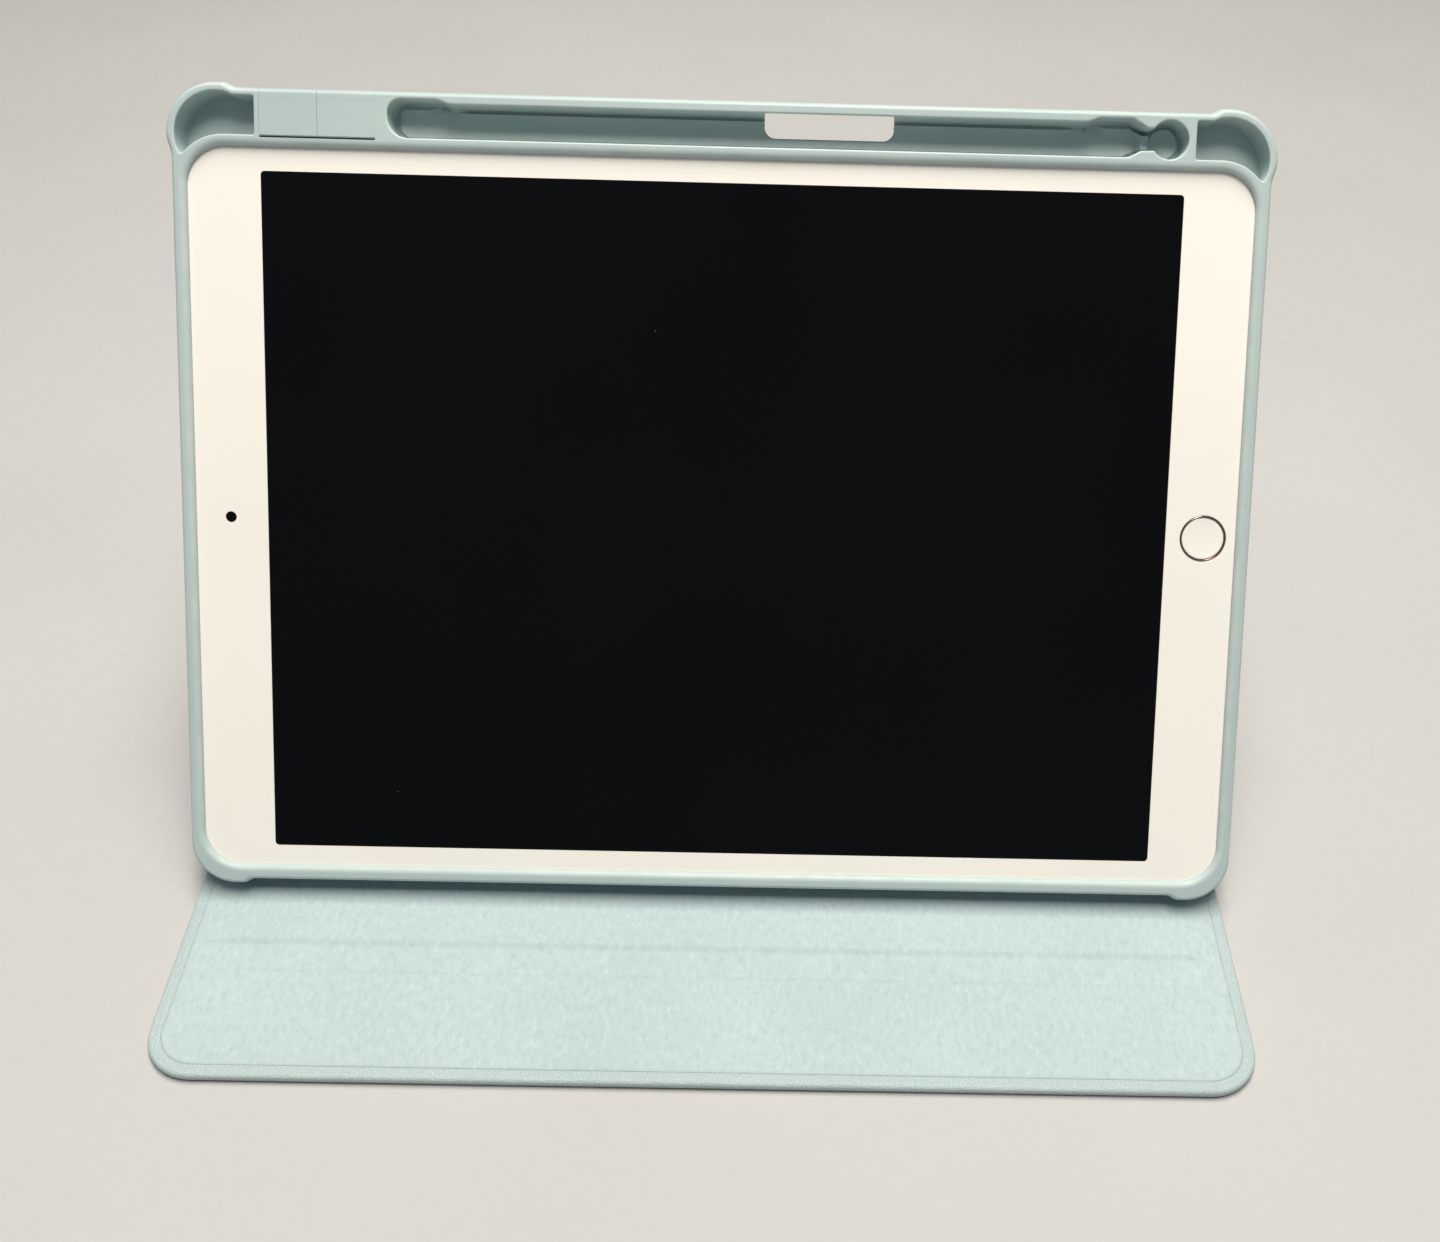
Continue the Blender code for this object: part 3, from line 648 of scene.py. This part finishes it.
def corner_cavity(side, inner):
    """Hollow behind a top corner, which follows the outer corner and ends in a point beside the tablet."""
    low, high = CAVITY_LOW, CAVITY_HIGH
    band = arc((0.1150, low - 0.0118), 0.0118, 90, 42, 12)
    tip = arc((0.1246, 0.0842), 0.0005, 235, 330, 4)
    outer = arc((0.11635, 0.0881), 0.0097, -20, 88, 18)
    step = [Vector((0.1146, 0.0977)), Vector((0.1136, 0.0973)), Vector((0.1126, high))]
    top = arc((inner + 0.0005, high - 0.0005), 0.0005, 90, 180, 4)
    bottom = arc((inner + 0.0005, low + 0.0005), 0.0005, 180, 270, 4)
    points = [*band, *tip, *outer, *step, *top, *bottom]
    return tidy([Vector((side * point.x, point.y)) for point in points])


def bowl(shape, outline, rim, fillet, floor, points=None, height=None):
    """Hollow below the tray's front face: a rounded rim, a wall and a floor. Returns its rim."""
    profile = turn((-rim, TRAY_DEPTH), (0.0, TRAY_DEPTH - rim), 5, False, 0.9)
    profile += turn((0.0, floor + fillet), (fillet, floor), 5, True)
    first, last = shape.loft(outline, profile)
    shape.cap([last], points, height)
    return first


def trough_floor(points, outline):
    """The floor rises towards its sides and in a saddle under the neck."""
    edge = 1 - np.clip(gap_to(points, outline) / 0.0030, 0, 1)
    saddle = smooth((0.0017 - np.abs(points[:, 0] - NECK)) / 0.0009)
    return TRAY_FLOOR + 0.0009 * edge**2 + 0.0024 * saddle


def tray_piece():
    shape = Shape()
    body = tray_outline()
    profile = turn((0.0010, 0.0), (0.0, 0.0016), 6, False, 0.6)
    profile += turn((0.0, TRAY_DEPTH - 0.0030), (0.0013, TRAY_DEPTH), 10, True, 1.0)
    back, front = shape.loft(body, profile)

    rim = 0.0016
    lip = box_outline((-LIP_X, LIP_LOW), (LIP_X, LIP_HIGH), 0.0090, 12)
    under = TABLET_FRONT + 0.00012
    lip_profile = turn((-rim, TRAY_DEPTH), (0.0, TRAY_DEPTH - 0.0013), 8, False, 0.7)
    lip_profile += turn((0.0, under + 0.0003), (-0.0002, under), 4, True)
    lip_top, lip_foot = shape.loft(lip, lip_profile)
    pocket = centred(TABLET_HALF.x + 0.0005, TABLET_HALF.y + 0.0005, TABLET_CORNER + 0.0005, 12)
    pocket_profile = [(0.0, under, 0.0)]
    pocket_profile += turn((0.0, TRAY_FLOOR + 0.0005), (0.0005, TRAY_FLOOR), 4, True)
    pocket_top, pocket_floor = shape.loft(pocket, pocket_profile)
    shape.bridge(lip_foot, pocket_top)
    shape.cap([pocket_floor])

    trough = trough_outline()
    inner = offset(trough, 0.0005)
    ends = np.arange(-0.0775, -0.0690, 0.0008), np.arange(0.0885, 0.1075, 0.0005)
    xs = np.concatenate([ends[0], np.arange(-0.066, 0.087, 0.006), ends[1]])
    ys = np.linspace(TROUGH_LOW, TROUGH_WIDE, 15)
    grid = lattice(xs, ys, inner, 0.00025)
    rims = [bowl(shape, trough, 0.00045, 0.0005, TRAY_FLOOR, grid, lambda p: trough_floor(p, inner))]
    for side, at in zip((1, -1), CAVITY_INNER):
        rims.append(bowl(shape, corner_cavity(side, at), 0.0004, 0.0003, TRAY_FLOOR))
    shape.cap([front, lip_top, *rims])
    shape.cap([back])
    tray = shape.piece("tray_moulding", TRAY, FINISHES["mint_tpu"])

    low, high = SLOT_X
    top = UNDERCUT[0] + 0.0002
    corners = [(low, SLOT_LOW, 0.0026), (high, SLOT_LOW, 0.0026), (high, top, 0.0002), (low, top, 0.0002)]
    slot = rounded(corners)
    undercut = box_outline((low, UNDERCUT[0]), (high, UNDERCUT[1]), 0.0006, 3)
    cutters = [
        trumpet("finger_slot", slot, -0.0001, TRAY_FLOOR + 0.0010, TRAY, 0.0005, 0.0024, 0.0021),
        trumpet("slot_undercut", undercut, -0.0006, TRAY_DEPTH - 0.0008, TRAY, 0.0, 0.0),
        trumpet("camera_hole", circle(CAMERA_WINDOW, 0.0070), 0.0, TRAY_FLOOR, TRAY, 0.0004, 0.0004),
        *side_cutters(),
        *key_cutters(),
    ]
    carve(tray, cutters)
    return own(tray, "tray", "mint_tpu", "tray_shell", "tray_lip")


def sideways(side):
    """Frame whose plane is a side wall of the tray: X up the tray, Y out of the screen, Z outwards."""
    turned = Matrix(((0, 0, side, 0), (1, 0, 0, 0), (0, 1, 0, 0), (0, 0, 0, 1)))
    return TRAY @ turned


def side_cutters():
    """Openings for the ports and speakers in the side walls."""
    wall_in = TABLET_HALF.x - 0.0006
    wall_out = TRAY_HALF_WIDTH
    openings = (
        ("port", 1, -0.0080, 0.0080, PORT_LEVELS),
        ("right_upper", 1, 0.0420, 0.0640, SPEAKER_LEVELS),
        ("right_lower", 1, -0.0640, -0.0420, SPEAKER_LEVELS),
        ("left_upper", -1, 0.0250, 0.0470, SPEAKER_LEVELS),
        ("left_lower", -1, -0.0640, -0.0420, SPEAKER_LEVELS),
        ("jack", -1, JACK_Y - 0.0040, JACK_Y + 0.0040, PORT_LEVELS),
        ("power", -1, POWER_Y - 0.0064, POWER_Y + 0.0064, SPEAKER_LEVELS),
    )
    made = []
    for name, side, low, high, (back, front) in openings:
        radius = min(high - low, front - back) * 0.49
        outline = box_outline((low, back), (high, front), radius)
        made.append(trumpet(name, outline, wall_in, wall_out, sideways(side), 0.0, 0.0004))
    return made


def key_cutters():
    """Gap for the volume covers, and the window behind it for their nubs."""
    left = VOLUME_X[0] - VOLUME_LENGTH / 2
    right = VOLUME_X[1] + VOLUME_LENGTH / 2
    gap = box_outline((left, SLIT_LOW), (right, TRAY_HIGH + 0.002), 0.0)
    window = box_outline((left + 0.001, TABLET_HALF.y - 0.001), (right - 0.001, SLIT_LOW + 0.001), 0.0003, 3)
    return [
        trumpet("cover_gap", gap, TRAY_FLOOR, TRAY_DEPTH + 0.001, TRAY, 0.0, 0.0),
        slab("nub_window", window, 0.0035, 0.0063, TRAY, FINISHES["mint_tpu"], 0.0002),
    ]


def along_x(start):
    """Frame for a section drawn in the tray's YZ plane and run along X."""
    turned = Matrix(((0, 0, 1, start), (1, 0, 0, 0), (0, 1, 0, 0), (0, 0, 0, 1)))
    return TRAY @ turned


def volume_covers():
    """Flush covers over the volume keys, over a slit, with a faint step below the rim."""
    low = SLIT_LOW + 0.00043
    seam = 0.00003
    front = TRAY_DEPTH - 0.00008
    rim = turn((TRAY_HIGH, TRAY_DEPTH - 0.0030), (TRAY_HIGH - 0.0013, TRAY_DEPTH), 10, True)
    section = [(low, TRAY_FLOOR + 0.00006), (TRAY_HIGH, TRAY_FLOOR + 0.00006)]
    section += [(y, level) for y, level, _ in rim]
    section += [(0.0966, TRAY_DEPTH), (0.0960, front), (low + 0.0002, front), (low, front - 0.0002)]
    middle = sum(VOLUME_X) / 2
    for name, x in zip(("volume_up", "volume_down"), VOLUME_X):
        ends = sorted((x + math.copysign(VOLUME_LENGTH / 2, x - middle), middle))
        start, end = ends[0] - middle + seam, ends[1] - middle - seam
        where = along_x(middle)
        cover = slab(name + "_pad", tidy(section), start, end, where, FINISHES["mint_tpu"], 0.00001, 0, 1)
        own(cover, name + "_cover", "mint_tpu", name + "_cover")
        nub = box_outline((TABLET_HALF.y + 0.00055, KEY_LEVELS[0]), (low + 0.0006, KEY_LEVELS[1]), 0.0004)
        riser = slab(name + "_nub", nub, -0.0035, 0.0035, along_x(x), FINISHES["mint_tpu"], 0.0003)
        own(riser, name + "_cover", "mint_tpu")


def power_cover():
    outline = box_outline((POWER_Y - 0.0060, 0.0034), (POWER_Y + 0.0060, 0.0064), 0.00148, 10)
    low = TABLET_HALF.x + 0.00055
    high = TRAY_HALF_WIDTH + 0.0008
    pad = slab("power_pad", outline, low, high, sideways(-1), FINISHES["mint_tpu"], 0.0005, 0.8, 6)
    own(pad, "power_cover", "mint_tpu", "power_cover")


# Tablet


def housing():
    shape = Shape()
    outline = centred(TABLET_HALF.x, TABLET_HALF.y, TABLET_CORNER, 14)
    top = GLASS_LOW - 0.00012
    wall = 0.0010
    profile = turn((0.0034, TABLET_BACK), (0.0, TABLET_BACK + 0.0030), 10, False, 0.2)
    profile += [(0.0, top - 0.0004, 0.3), (0.00022, top, 1.0)]
    profile += [(wall, top, 0.0), (wall + 0.0003, top - 0.0006, 0.0)]
    profile += [(wall + 0.0022, TABLET_BACK + 0.0010, 0.0)]
    back, hollow = shape.loft(outline, profile)
    shape.cap([back])
    shape.cap([hollow])
    made = shape.piece("housing_shell", TRAY, FINISHES["anodised_aluminium"])
    reach = TABLET_HALF.x - 0.003, TABLET_HALF.x + 0.001
    cutters = [
        trumpet("usb", box_outline((-0.0045, 0.0034), (0.0045, 0.0064), 0.00145), *reach, sideways(1), 0, 0),
        trumpet("jack_hole", circle((JACK_Y, KEY_LEVEL), 0.0017, 32), *reach, sideways(-1), 0, 0),
    ]
    key = box_outline((POWER_Y - 0.0052, 0.0039), (POWER_Y + 0.0052, 0.0059), 0.0009)
    cutters.append(trumpet("power_hole", key, *reach, sideways(-1), 0, 0))
    for y in SPEAKER_Y:
        for side in (-1, 1):
            for index in range(8):
                hole = circle((y + (index - 3.5) * 0.0021, KEY_LEVEL), 0.0005, 12)
                cutters.append(trumpet("sound_hole", hole, *reach, sideways(side), 0, 0))
    for x in VOLUME_X:
        corners = (x - 0.0052, TABLET_HALF.y - 0.003), (x + 0.0052, TABLET_HALF.y + 0.001)
        hole = box_outline(*corners, 0.0002, 2)
        cutters.append(slab("key_hole", hole, 0.0039, 0.0059, TRAY, FINISHES["mint_tpu"], 0.0001))
    carve(made, cutters)
    own(made, "tablet", "anodised_aluminium", "tablet_housing")


def keys():
    finish = FINISHES["anodised_aluminium"]
    back, front = KEY_LEVELS
    half = KEY_HALF_LENGTH
    for name, x in zip(("volume_up_key", "volume_down_key"), VOLUME_X):
        section = box_outline((TABLET_HALF.y - 0.00095, back), (TABLET_HALF.y + 0.00025, front), 0.00035)
        key = slab(name + "_cap", section, -half, half, along_x(x), finish, 0.00025, 0.6)
        own(key, name, "anodised_aluminium", name)
    outline = box_outline((POWER_Y - half, back), (POWER_Y + half, front), 0.00088)
    low = TABLET_HALF.x - 0.00095
    key = slab("power_key_cap", outline, low, TABLET_HALF.x + 0.00025, sideways(-1), finish, 0.0002, 0.6)
    own(key, "power_key", "anodised_aluminium", "power_key")


def tablet_front():
    glass = Shape()
    outline = centred(TABLET_HALF.x - 0.0003, TABLET_HALF.y - 0.0003, TABLET_CORNER - 0.0003, 14)
    profile = [(0.0, GLASS_LOW, 0.0)] + turn((0.0, TABLET_FRONT - 0.0003), (0.0003, TABLET_FRONT), 4, True)
    back, front = glass.loft(outline, profile)
    fronts, backs = [front], [back]
    holes = (
        (centred(DISPLAY_HALF.x + 0.00006, DISPLAY_HALF.y + 0.00006, 0.0009, 6), 0.00002),
        (circle(HOME, HOME_RADIUS + 0.00008, 96), 0.0001),
        (circle(FRONT_CAMERA, 0.0013, 48), 0.00004),
    )
    for loop, edge in holes:
        steps = turn((-edge, TABLET_FRONT), (0.0, TABLET_FRONT - edge), 3, False) + [(0.0, GLASS_LOW, 0.0)]
        first, last = glass.loft(loop, steps)
        fronts.append(first)
        backs.append(last)
    glass.cap(fronts)
    glass.cap(backs)
    own(glass.piece("bezel_glass", TRAY, FINISHES["white_glass"]), "tablet", "white_glass", "front_glass")

    screen = centred(DISPLAY_HALF.x, DISPLAY_HALF.y, 0.00085, 6)
    low = GLASS_LOW - 0.0006
    display = slab("screen", screen, low, TABLET_FRONT, TRAY, FINISHES["black_glass"], 0.00003, 0, 2)
    own(display, "tablet", "black_glass", "display_panel")

    ring = Shape()
    edge = circle(HOME, HOME_RADIUS, 96)
    level = TABLET_FRONT + 0.00002
    steps = [(0.0, GLASS_LOW, 0.0)] + turn((0.0, level - 0.00018), (0.00018, level), 4, True, 1.0)
    steps += turn((0.00026, level), (0.00042, level - 0.0002), 4, False) + [(0.00042, GLASS_LOW, 0.0)]
    first, last = ring.loft(edge, steps)
    ring.bridge(last, first)
    own(ring.piece("home_ring", TRAY, FINISHES["ring_metal"]), "tablet", "ring_metal", "home_button_ring")

    button = Shape()
    radius = HOME_RADIUS - 0.00047
    edge = circle(HOME, radius, 96)
    steps = [(0.0, GLASS_LOW, 0.0)] + turn((0.0, 0.00762), (0.0003, 0.00782), 4, True, 0.2)
    first, last = button.loft(edge, steps)
    rings = [circle(HOME, radius * share, 48) for share in (0.85, 0.65, 0.45, 0.25, 0.08)]
    points = np.concatenate(rings)

    def dish(places):
        away = np.linalg.norm(places - np.array(HOME), axis=1) / radius
        return 0.00782 - 0.00018 * (1 - away**2)

    button.cap([last], points, dish)
    button.cap([first])
    disc = button.piece("home_disc", TRAY, FINISHES["white_glass"])
    own(disc, "home_button", "white_glass", "home_button")

    lens = Shape()
    steps = [(0.0, GLASS_LOW, 0.0)] + turn((0.0, 0.00785), (0.0001, 0.00795), 3, True)
    first, last = lens.loft(circle(FRONT_CAMERA, 0.00122, 48), steps)
    lens.cap([last])
    lens.cap([first])
    made = lens.piece("front_lens", TRAY, FINISHES["black_glass"])
    own(made, "tablet", "black_glass", "front_camera")


def rear_camera():
    top = TABLET_BACK - 0.00015
    ring = Shape()
    steps = turn((0.0003, top - 0.0008), (0.0, top - 0.0005), 4, False, 1.0) + [(0.0, top, 0.0)]
    steps += [(0.00115, top, 0.0)] + turn((0.00115, top - 0.0004), (0.0008, top - 0.0008), 4, True, 0.6)
    first, last = ring.loft(circle(CAMERA_WINDOW, 0.0048, 72), steps)
    ring.bridge(last, first)
    made = ring.piece("rear_lens_ring", TRAY, FINISHES["anodised_aluminium"])
    own(made, "tablet", "anodised_aluminium", "rear_camera_ring")
    lens = Shape()
    steps = turn((0.0003, top - 0.0006), (0.0, top - 0.0004), 4, False) + [(0.0, top, 0.0)]
    first, last = lens.loft(circle(CAMERA_WINDOW, 0.0034, 64), steps)
    lens.cap([first])
    lens.cap([last])
    made = lens.piece("rear_lens", TRAY, FINISHES["black_glass"])
    own(made, "tablet", "black_glass", "rear_camera_lens")


# Folio


def panel_outline(half, low, high, low_radius, high_radius):
    """Outline of a panel as a function of its inset, with corners that stay round."""

    def at(inset):
        side = half - inset
        near = max(low_radius - inset, 0.0004)
        far = max(high_radius - inset, 0.0004)
        corners = [(-side, low + inset, near), (side, low + inset, near)]
        corners += [(side, high - inset, far), (-side, high - inset, far)]
        return rounded(corners, 10)

    return at


def shrunk(outline, margin):
    """The same outline, starting from further in."""
    return lambda inset: outline(margin + 0.00002 + inset)


def panel_skin(name, outline, rim, where, body, slot, nodes, holes=()):
    """Skin of a panel: outer face, rolled edge, and a rim on the inner face round a recess."""
    shape = Shape()
    roll = 0.0011
    profile = turn((roll, 0.0), (0.0, roll), 6, False, 0.8)
    profile += turn((0.0, PANEL - roll), (roll, PANEL), 6, True, 0.8)
    run = min(0.0010, rim - roll - 0.00005)
    profile += turn((rim - run, PANEL), (rim, PANEL - RIM_DIP), 4, False) + [(rim, 0.0006, 0.0)]
    first, last = shape.loft(outline, profile)
    shape.cap([first])
    shape.cap([last])
    made = shape.piece(name, where, FINISHES["mint_skin"])
    if holes:
        carve(made, holes)
    return own(made, body, slot, *nodes)


def lining(name, outline, where, xs, ys, height, body, nodes):
    """Padded lining whose edge rolls down into the pressed line round it."""
    shape = Shape()
    roll = 0.0009
    edge = turn((0.0, PANEL - RIM_DIP), (roll, PANEL), 5)
    profile = [(0.0, 0.0015, 0.0)]
    profile += [(inset, level, 0.6 * (1 - inset / roll)) for inset, level, _ in edge]
    first, last = shape.loft(outline, profile)
    inner = np.array([tuple(vert.co.xy) for vert in last])
    shape.cap([last], lattice(xs, ys, inner, 0.0005), height)
    shape.cap([first])
    made = shape.piece(name, where, FINISHES["mint_microfibre"], 60.0)
    return own(made, body, "mint_microfibre", *nodes)


def pill_distance(points, middle, half):
    """Distance outside a slot with round ends; negative within it."""
    across = points - np.array(middle)
    across[:, 0] = np.maximum(np.abs(across[:, 0]) - (half.x - half.y), 0.0)
    return np.linalg.norm(across, axis=1) - half.y


def cover_height(points):
    level = np.full(len(points), PANEL)
    level += 0.00005 * np.sin(points[:, 0] * 47 + 1.0) * np.sin(points[:, 1] * 61 + 0.5)
    for middle in GROOVES:
        away = pill_distance(points, (0.0, middle), GROOVE_HALF)
        level -= GROOVE_DEPTH * smooth(0.5 - away / 0.0022)
    return level


def front_cover():
    back = COVER_DEPTH - HINGE_GAP
    side = COVER_HALF_WIDTH
    outline = panel_outline(side, 0.0, back, 0.012, 0.002)
    skin = ("front_cover", "mint_skin", ["front_cover_skin"])
    panel_skin("front_cover_leather", outline, COVER_RIM, COVER, *skin)
    fine = np.arange(GROOVE_HALF.x - 0.009, GROOVE_HALF.x + 0.0020, 0.0006)
    xs = np.concatenate([-fine[::-1], np.arange(-0.108, 0.109, 0.004), fine])
    ys = [np.arange(0.004, back - 0.004, 0.004)]
    for middle in GROOVES:
        for edge in (-1, 1):
            at = middle + edge * GROOVE_HALF.y
            ys.append(np.arange(at - 0.0014, at + 0.0015, 0.00035))
    ys = np.unique(np.round(np.concatenate(ys), 5))
    edge = shrunk(outline, COVER_RIM)
    lining("front_cover_nap", edge, COVER, xs, ys, cover_height, "front_cover", ["front_cover_lining"])


def flat_height(points):
    return PANEL + 0.00006 * np.sin(points[:, 0] * 53) * np.sin(points[:, 1] * 71)


def plain_panels():
    """Spine and leg."""
    parts = (
        ("spine", SPINE, HINGE_GAP, SPINE_WIDTH - HINGE_GAP, 0.0012),
        ("leg", LEG, HINGE_GAP, LEG_LENGTH - CREASE_GAP, 0.0022),
    )
    for name, where, low, high, rim in parts:
        outline = panel_outline(LEG_HALF_WIDTH, low, high, 0.0018, 0.0018)
        panel_skin(name + "_leather", outline, rim, where, name, "mint_skin", [name + "_skin"])
        inner = shrunk(outline, rim)
        xs = np.arange(-0.122, 0.123, 0.006)
        ys = np.arange(low + rim, high - rim, 0.004 if high - low > 0.02 else 0.001)
        lining(name + "_nap", inner, where, xs, ys, flat_height, name, [name + "_lining"])


def back_panel():
    low = CREASE_Y + CREASE_GAP
    side = LEG_HALF_WIDTH
    outline = panel_outline(side, low, BACK_TOP, 0.0018, 0.008)
    window = trumpet("window", circle(CAMERA_WINDOW, 0.0075), 0.0, PANEL, BACK, 0.0006, 0.0)
    skin = ("tray", "mint_skin", ["back_panel_skin"])
    panel_skin("back_panel_leather", outline, 0.0015, BACK, *skin, [window])


def strip(name, middle_line, thickness, half_width, finish, node=None):
    """Soft strip across a fold: a line in the YZ plane given thickness, run along X and closed flat at its side
    ends.
    """
    line = [Vector(point) for point in middle_line]
    steps = 10
    xs = [-half_width + 2 * half_width * i / steps for i in range(steps + 1)]
    mesh = bmesh.new()
    mesh.verts.layers.float.new("wear")
    sides = []
    for index, point in enumerate(line):
        before = line[max(index - 1, 0)]
        after = line[min(index + 1, len(line) - 1)]
        along = (after - before).normalized()
        normal = Vector((0.0, -along.z, along.y))
        sides.append((point + normal * thickness / 2, point - normal * thickness / 2))
    section = [pair[0] for pair in sides] + [pair[1] for pair in reversed(sides)]
    rings = [[mesh.verts.new((x, point.y, point.z)) for point in section] for x in xs]
    for first, second in zip(rings, rings[1:]):
        for index in range(len(section)):
            mesh.faces.new((first[index - 1], first[index], second[index], second[index - 1]))
    for ring in (rings[0], rings[-1]):
        half = len(line)
        for index in range(half - 1):
            mesh.faces.new((ring[index], ring[index + 1], ring[-index - 2], ring[-index - 1]))
    bmesh.ops.recalc_face_normals(mesh, faces=mesh.faces)
    data = bpy.data.meshes.new(name)
    mesh.to_mesh(data)
    mesh.free()
    data.materials.append(FINISHES[finish])
    made = bpy.data.objects.new(name, data)
    bpy.context.scene.collection.objects.link(made)
    finish_shading(made, 50.0)
    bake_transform(made)
    if node:
        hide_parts(node)
    return made


def fold_line(hinge, first, second, level, reach, steps=12):
    """Line beside a hinge: along the first panel's face, round the fold, and along the second panel's face.

    first and second are the panels' frames, and level is how far the line lies from their middle planes.
    """
    a_out = first.to_3x3() @ Vector((0, 0, 1))
    b_out = second.to_3x3() @ Vector((0, 0, 1))
    a_along = first.to_3x3() @ Vector((0, 1, 0))
    b_along = second.to_3x3() @ Vector((0, 1, 0))
    start = hinge - a_along * reach + a_out * level
    end = hinge + b_along * reach + b_out * level
    pull = reach * 0.62
    points = []
    for step in range(steps + 1):
        t = step / steps
        handles = (start, start + a_along * pull, end - b_along * pull, end)
        weights = ((1 - t) ** 3, 3 * t * (1 - t) ** 2, 3 * t**2 * (1 - t), t**3)
        points.append(sum((point * weight for point, weight in zip(handles, weights)), Vector((0, 0, 0))))
    return points


def fold_strips():
    """The skin and the lining where they bend: beside the spine, under the leg, and at the crease."""
    folds = (
        ("front_hinge", FRONT_HINGE, COVER, SPINE, "front_cover", "spine", HINGE_GAP),
        ("rear_hinge", REAR_HINGE, SPINE, LEG, "spine", "leg", HINGE_GAP),
        ("crease", CREASE, LEG, BACK, "leg", "tray", CREASE_GAP),
    )
    half = LEG_HALF_WIDTH - 0.0008
    for name, hinge, first, second, body_a, body_b, gap in folds:
        reach = gap + 0.0006
        line = fold_line(hinge, first, second, -0.0007, reach)
        strip(name + "_bend", line, 0.0008, half, "mint_skin", name + "_strip")
        line = fold_line(hinge, first, second, 0.00005, reach)
        strip(name + "_nap", line, 0.0006, half, "mint_microfibre")


# CAD nodes that stay: boards, magnets, adhesive and the tablet's inside


def finish_nodes():
    slots = {part["node"]: part["material_slot"] for part in frame["record"]["subparts"]}
    for name, node in frame["nodes"].items():
        node.data.materials.clear()
        node.data.materials.append(FINISHES[slots[name]])


# Stage


def stage():
    mesh = bmesh.new()
    bmesh.ops.create_grid(mesh, x_segments=1, y_segments=1, size=3.0)
    data = bpy.data.meshes.new("floor")
    mesh.to_mesh(data)
    mesh.free()
    floor = bpy.data.objects.new("floor", data)
    floor.location.z = -0.0003
    bpy.context.scene.collection.objects.link(floor)
    pale = plain_finish("pale_floor", (0.49, 0.485, 0.48), (0.52, 0.515, 0.51), 0.85, 0.0, 0.003, 0.00005)
    data.materials.append(pale)


def area_light(name, location, target, size, power, colour):
    lamp = bpy.data.lights.new(name, "AREA")
    lamp.shape = "RECTANGLE"
    lamp.size, lamp.size_y = size
    lamp.energy = power
    lamp.color = colour
    lit = bpy.data.objects.new(name, lamp)
    lit.location = location
    lit.rotation_euler = (Vector(target) - Vector(location)).to_track_quat("-Z", "Y").to_euler()
    bpy.context.scene.collection.objects.link(lit)


def lights():
    """A warm softbox overhead, short from front to back, and a weak cool sky."""
    area_light("key", (0.05, 0.0, 1.35), (0.0, 0.0, 0.08), (1.1, 0.40), 27.0, (1.0, 0.95, 0.86))
    world = bpy.data.worlds.new("studio")
    world.use_nodes = True
    sky = world.node_tree.nodes["Background"]
    sky.inputs["Color"].default_value = (0.80, 0.92, 1.0, 1.0)
    sky.inputs["Strength"].default_value = 0.16
    bpy.context.scene.world = world
    bpy.context.scene.view_settings.view_transform = "Standard"


def camera():
    lens = bpy.data.cameras.new("camera")
    lens.lens = 38.75
    lens.sensor_width = 36.0
    lens.shift_x = -0.0575
    lens.shift_y = -0.0244
    lens.clip_start = 0.01
    eye = bpy.data.objects.new("camera", lens)
    eye.location = (0.0143, -0.2869, 0.3165)
    eye.rotation_euler = [math.radians(angle) for angle in (48.549, -1.567, 0.137)]
    bpy.context.scene.collection.objects.link(eye)
    bpy.context.scene.camera = eye


camera()
finish_nodes()
tray_piece()
volume_covers()
power_cover()
housing()
keys()
tablet_front()
rear_camera()
front_cover()
plain_panels()
back_panel()
fold_strips()
stage()
lights()
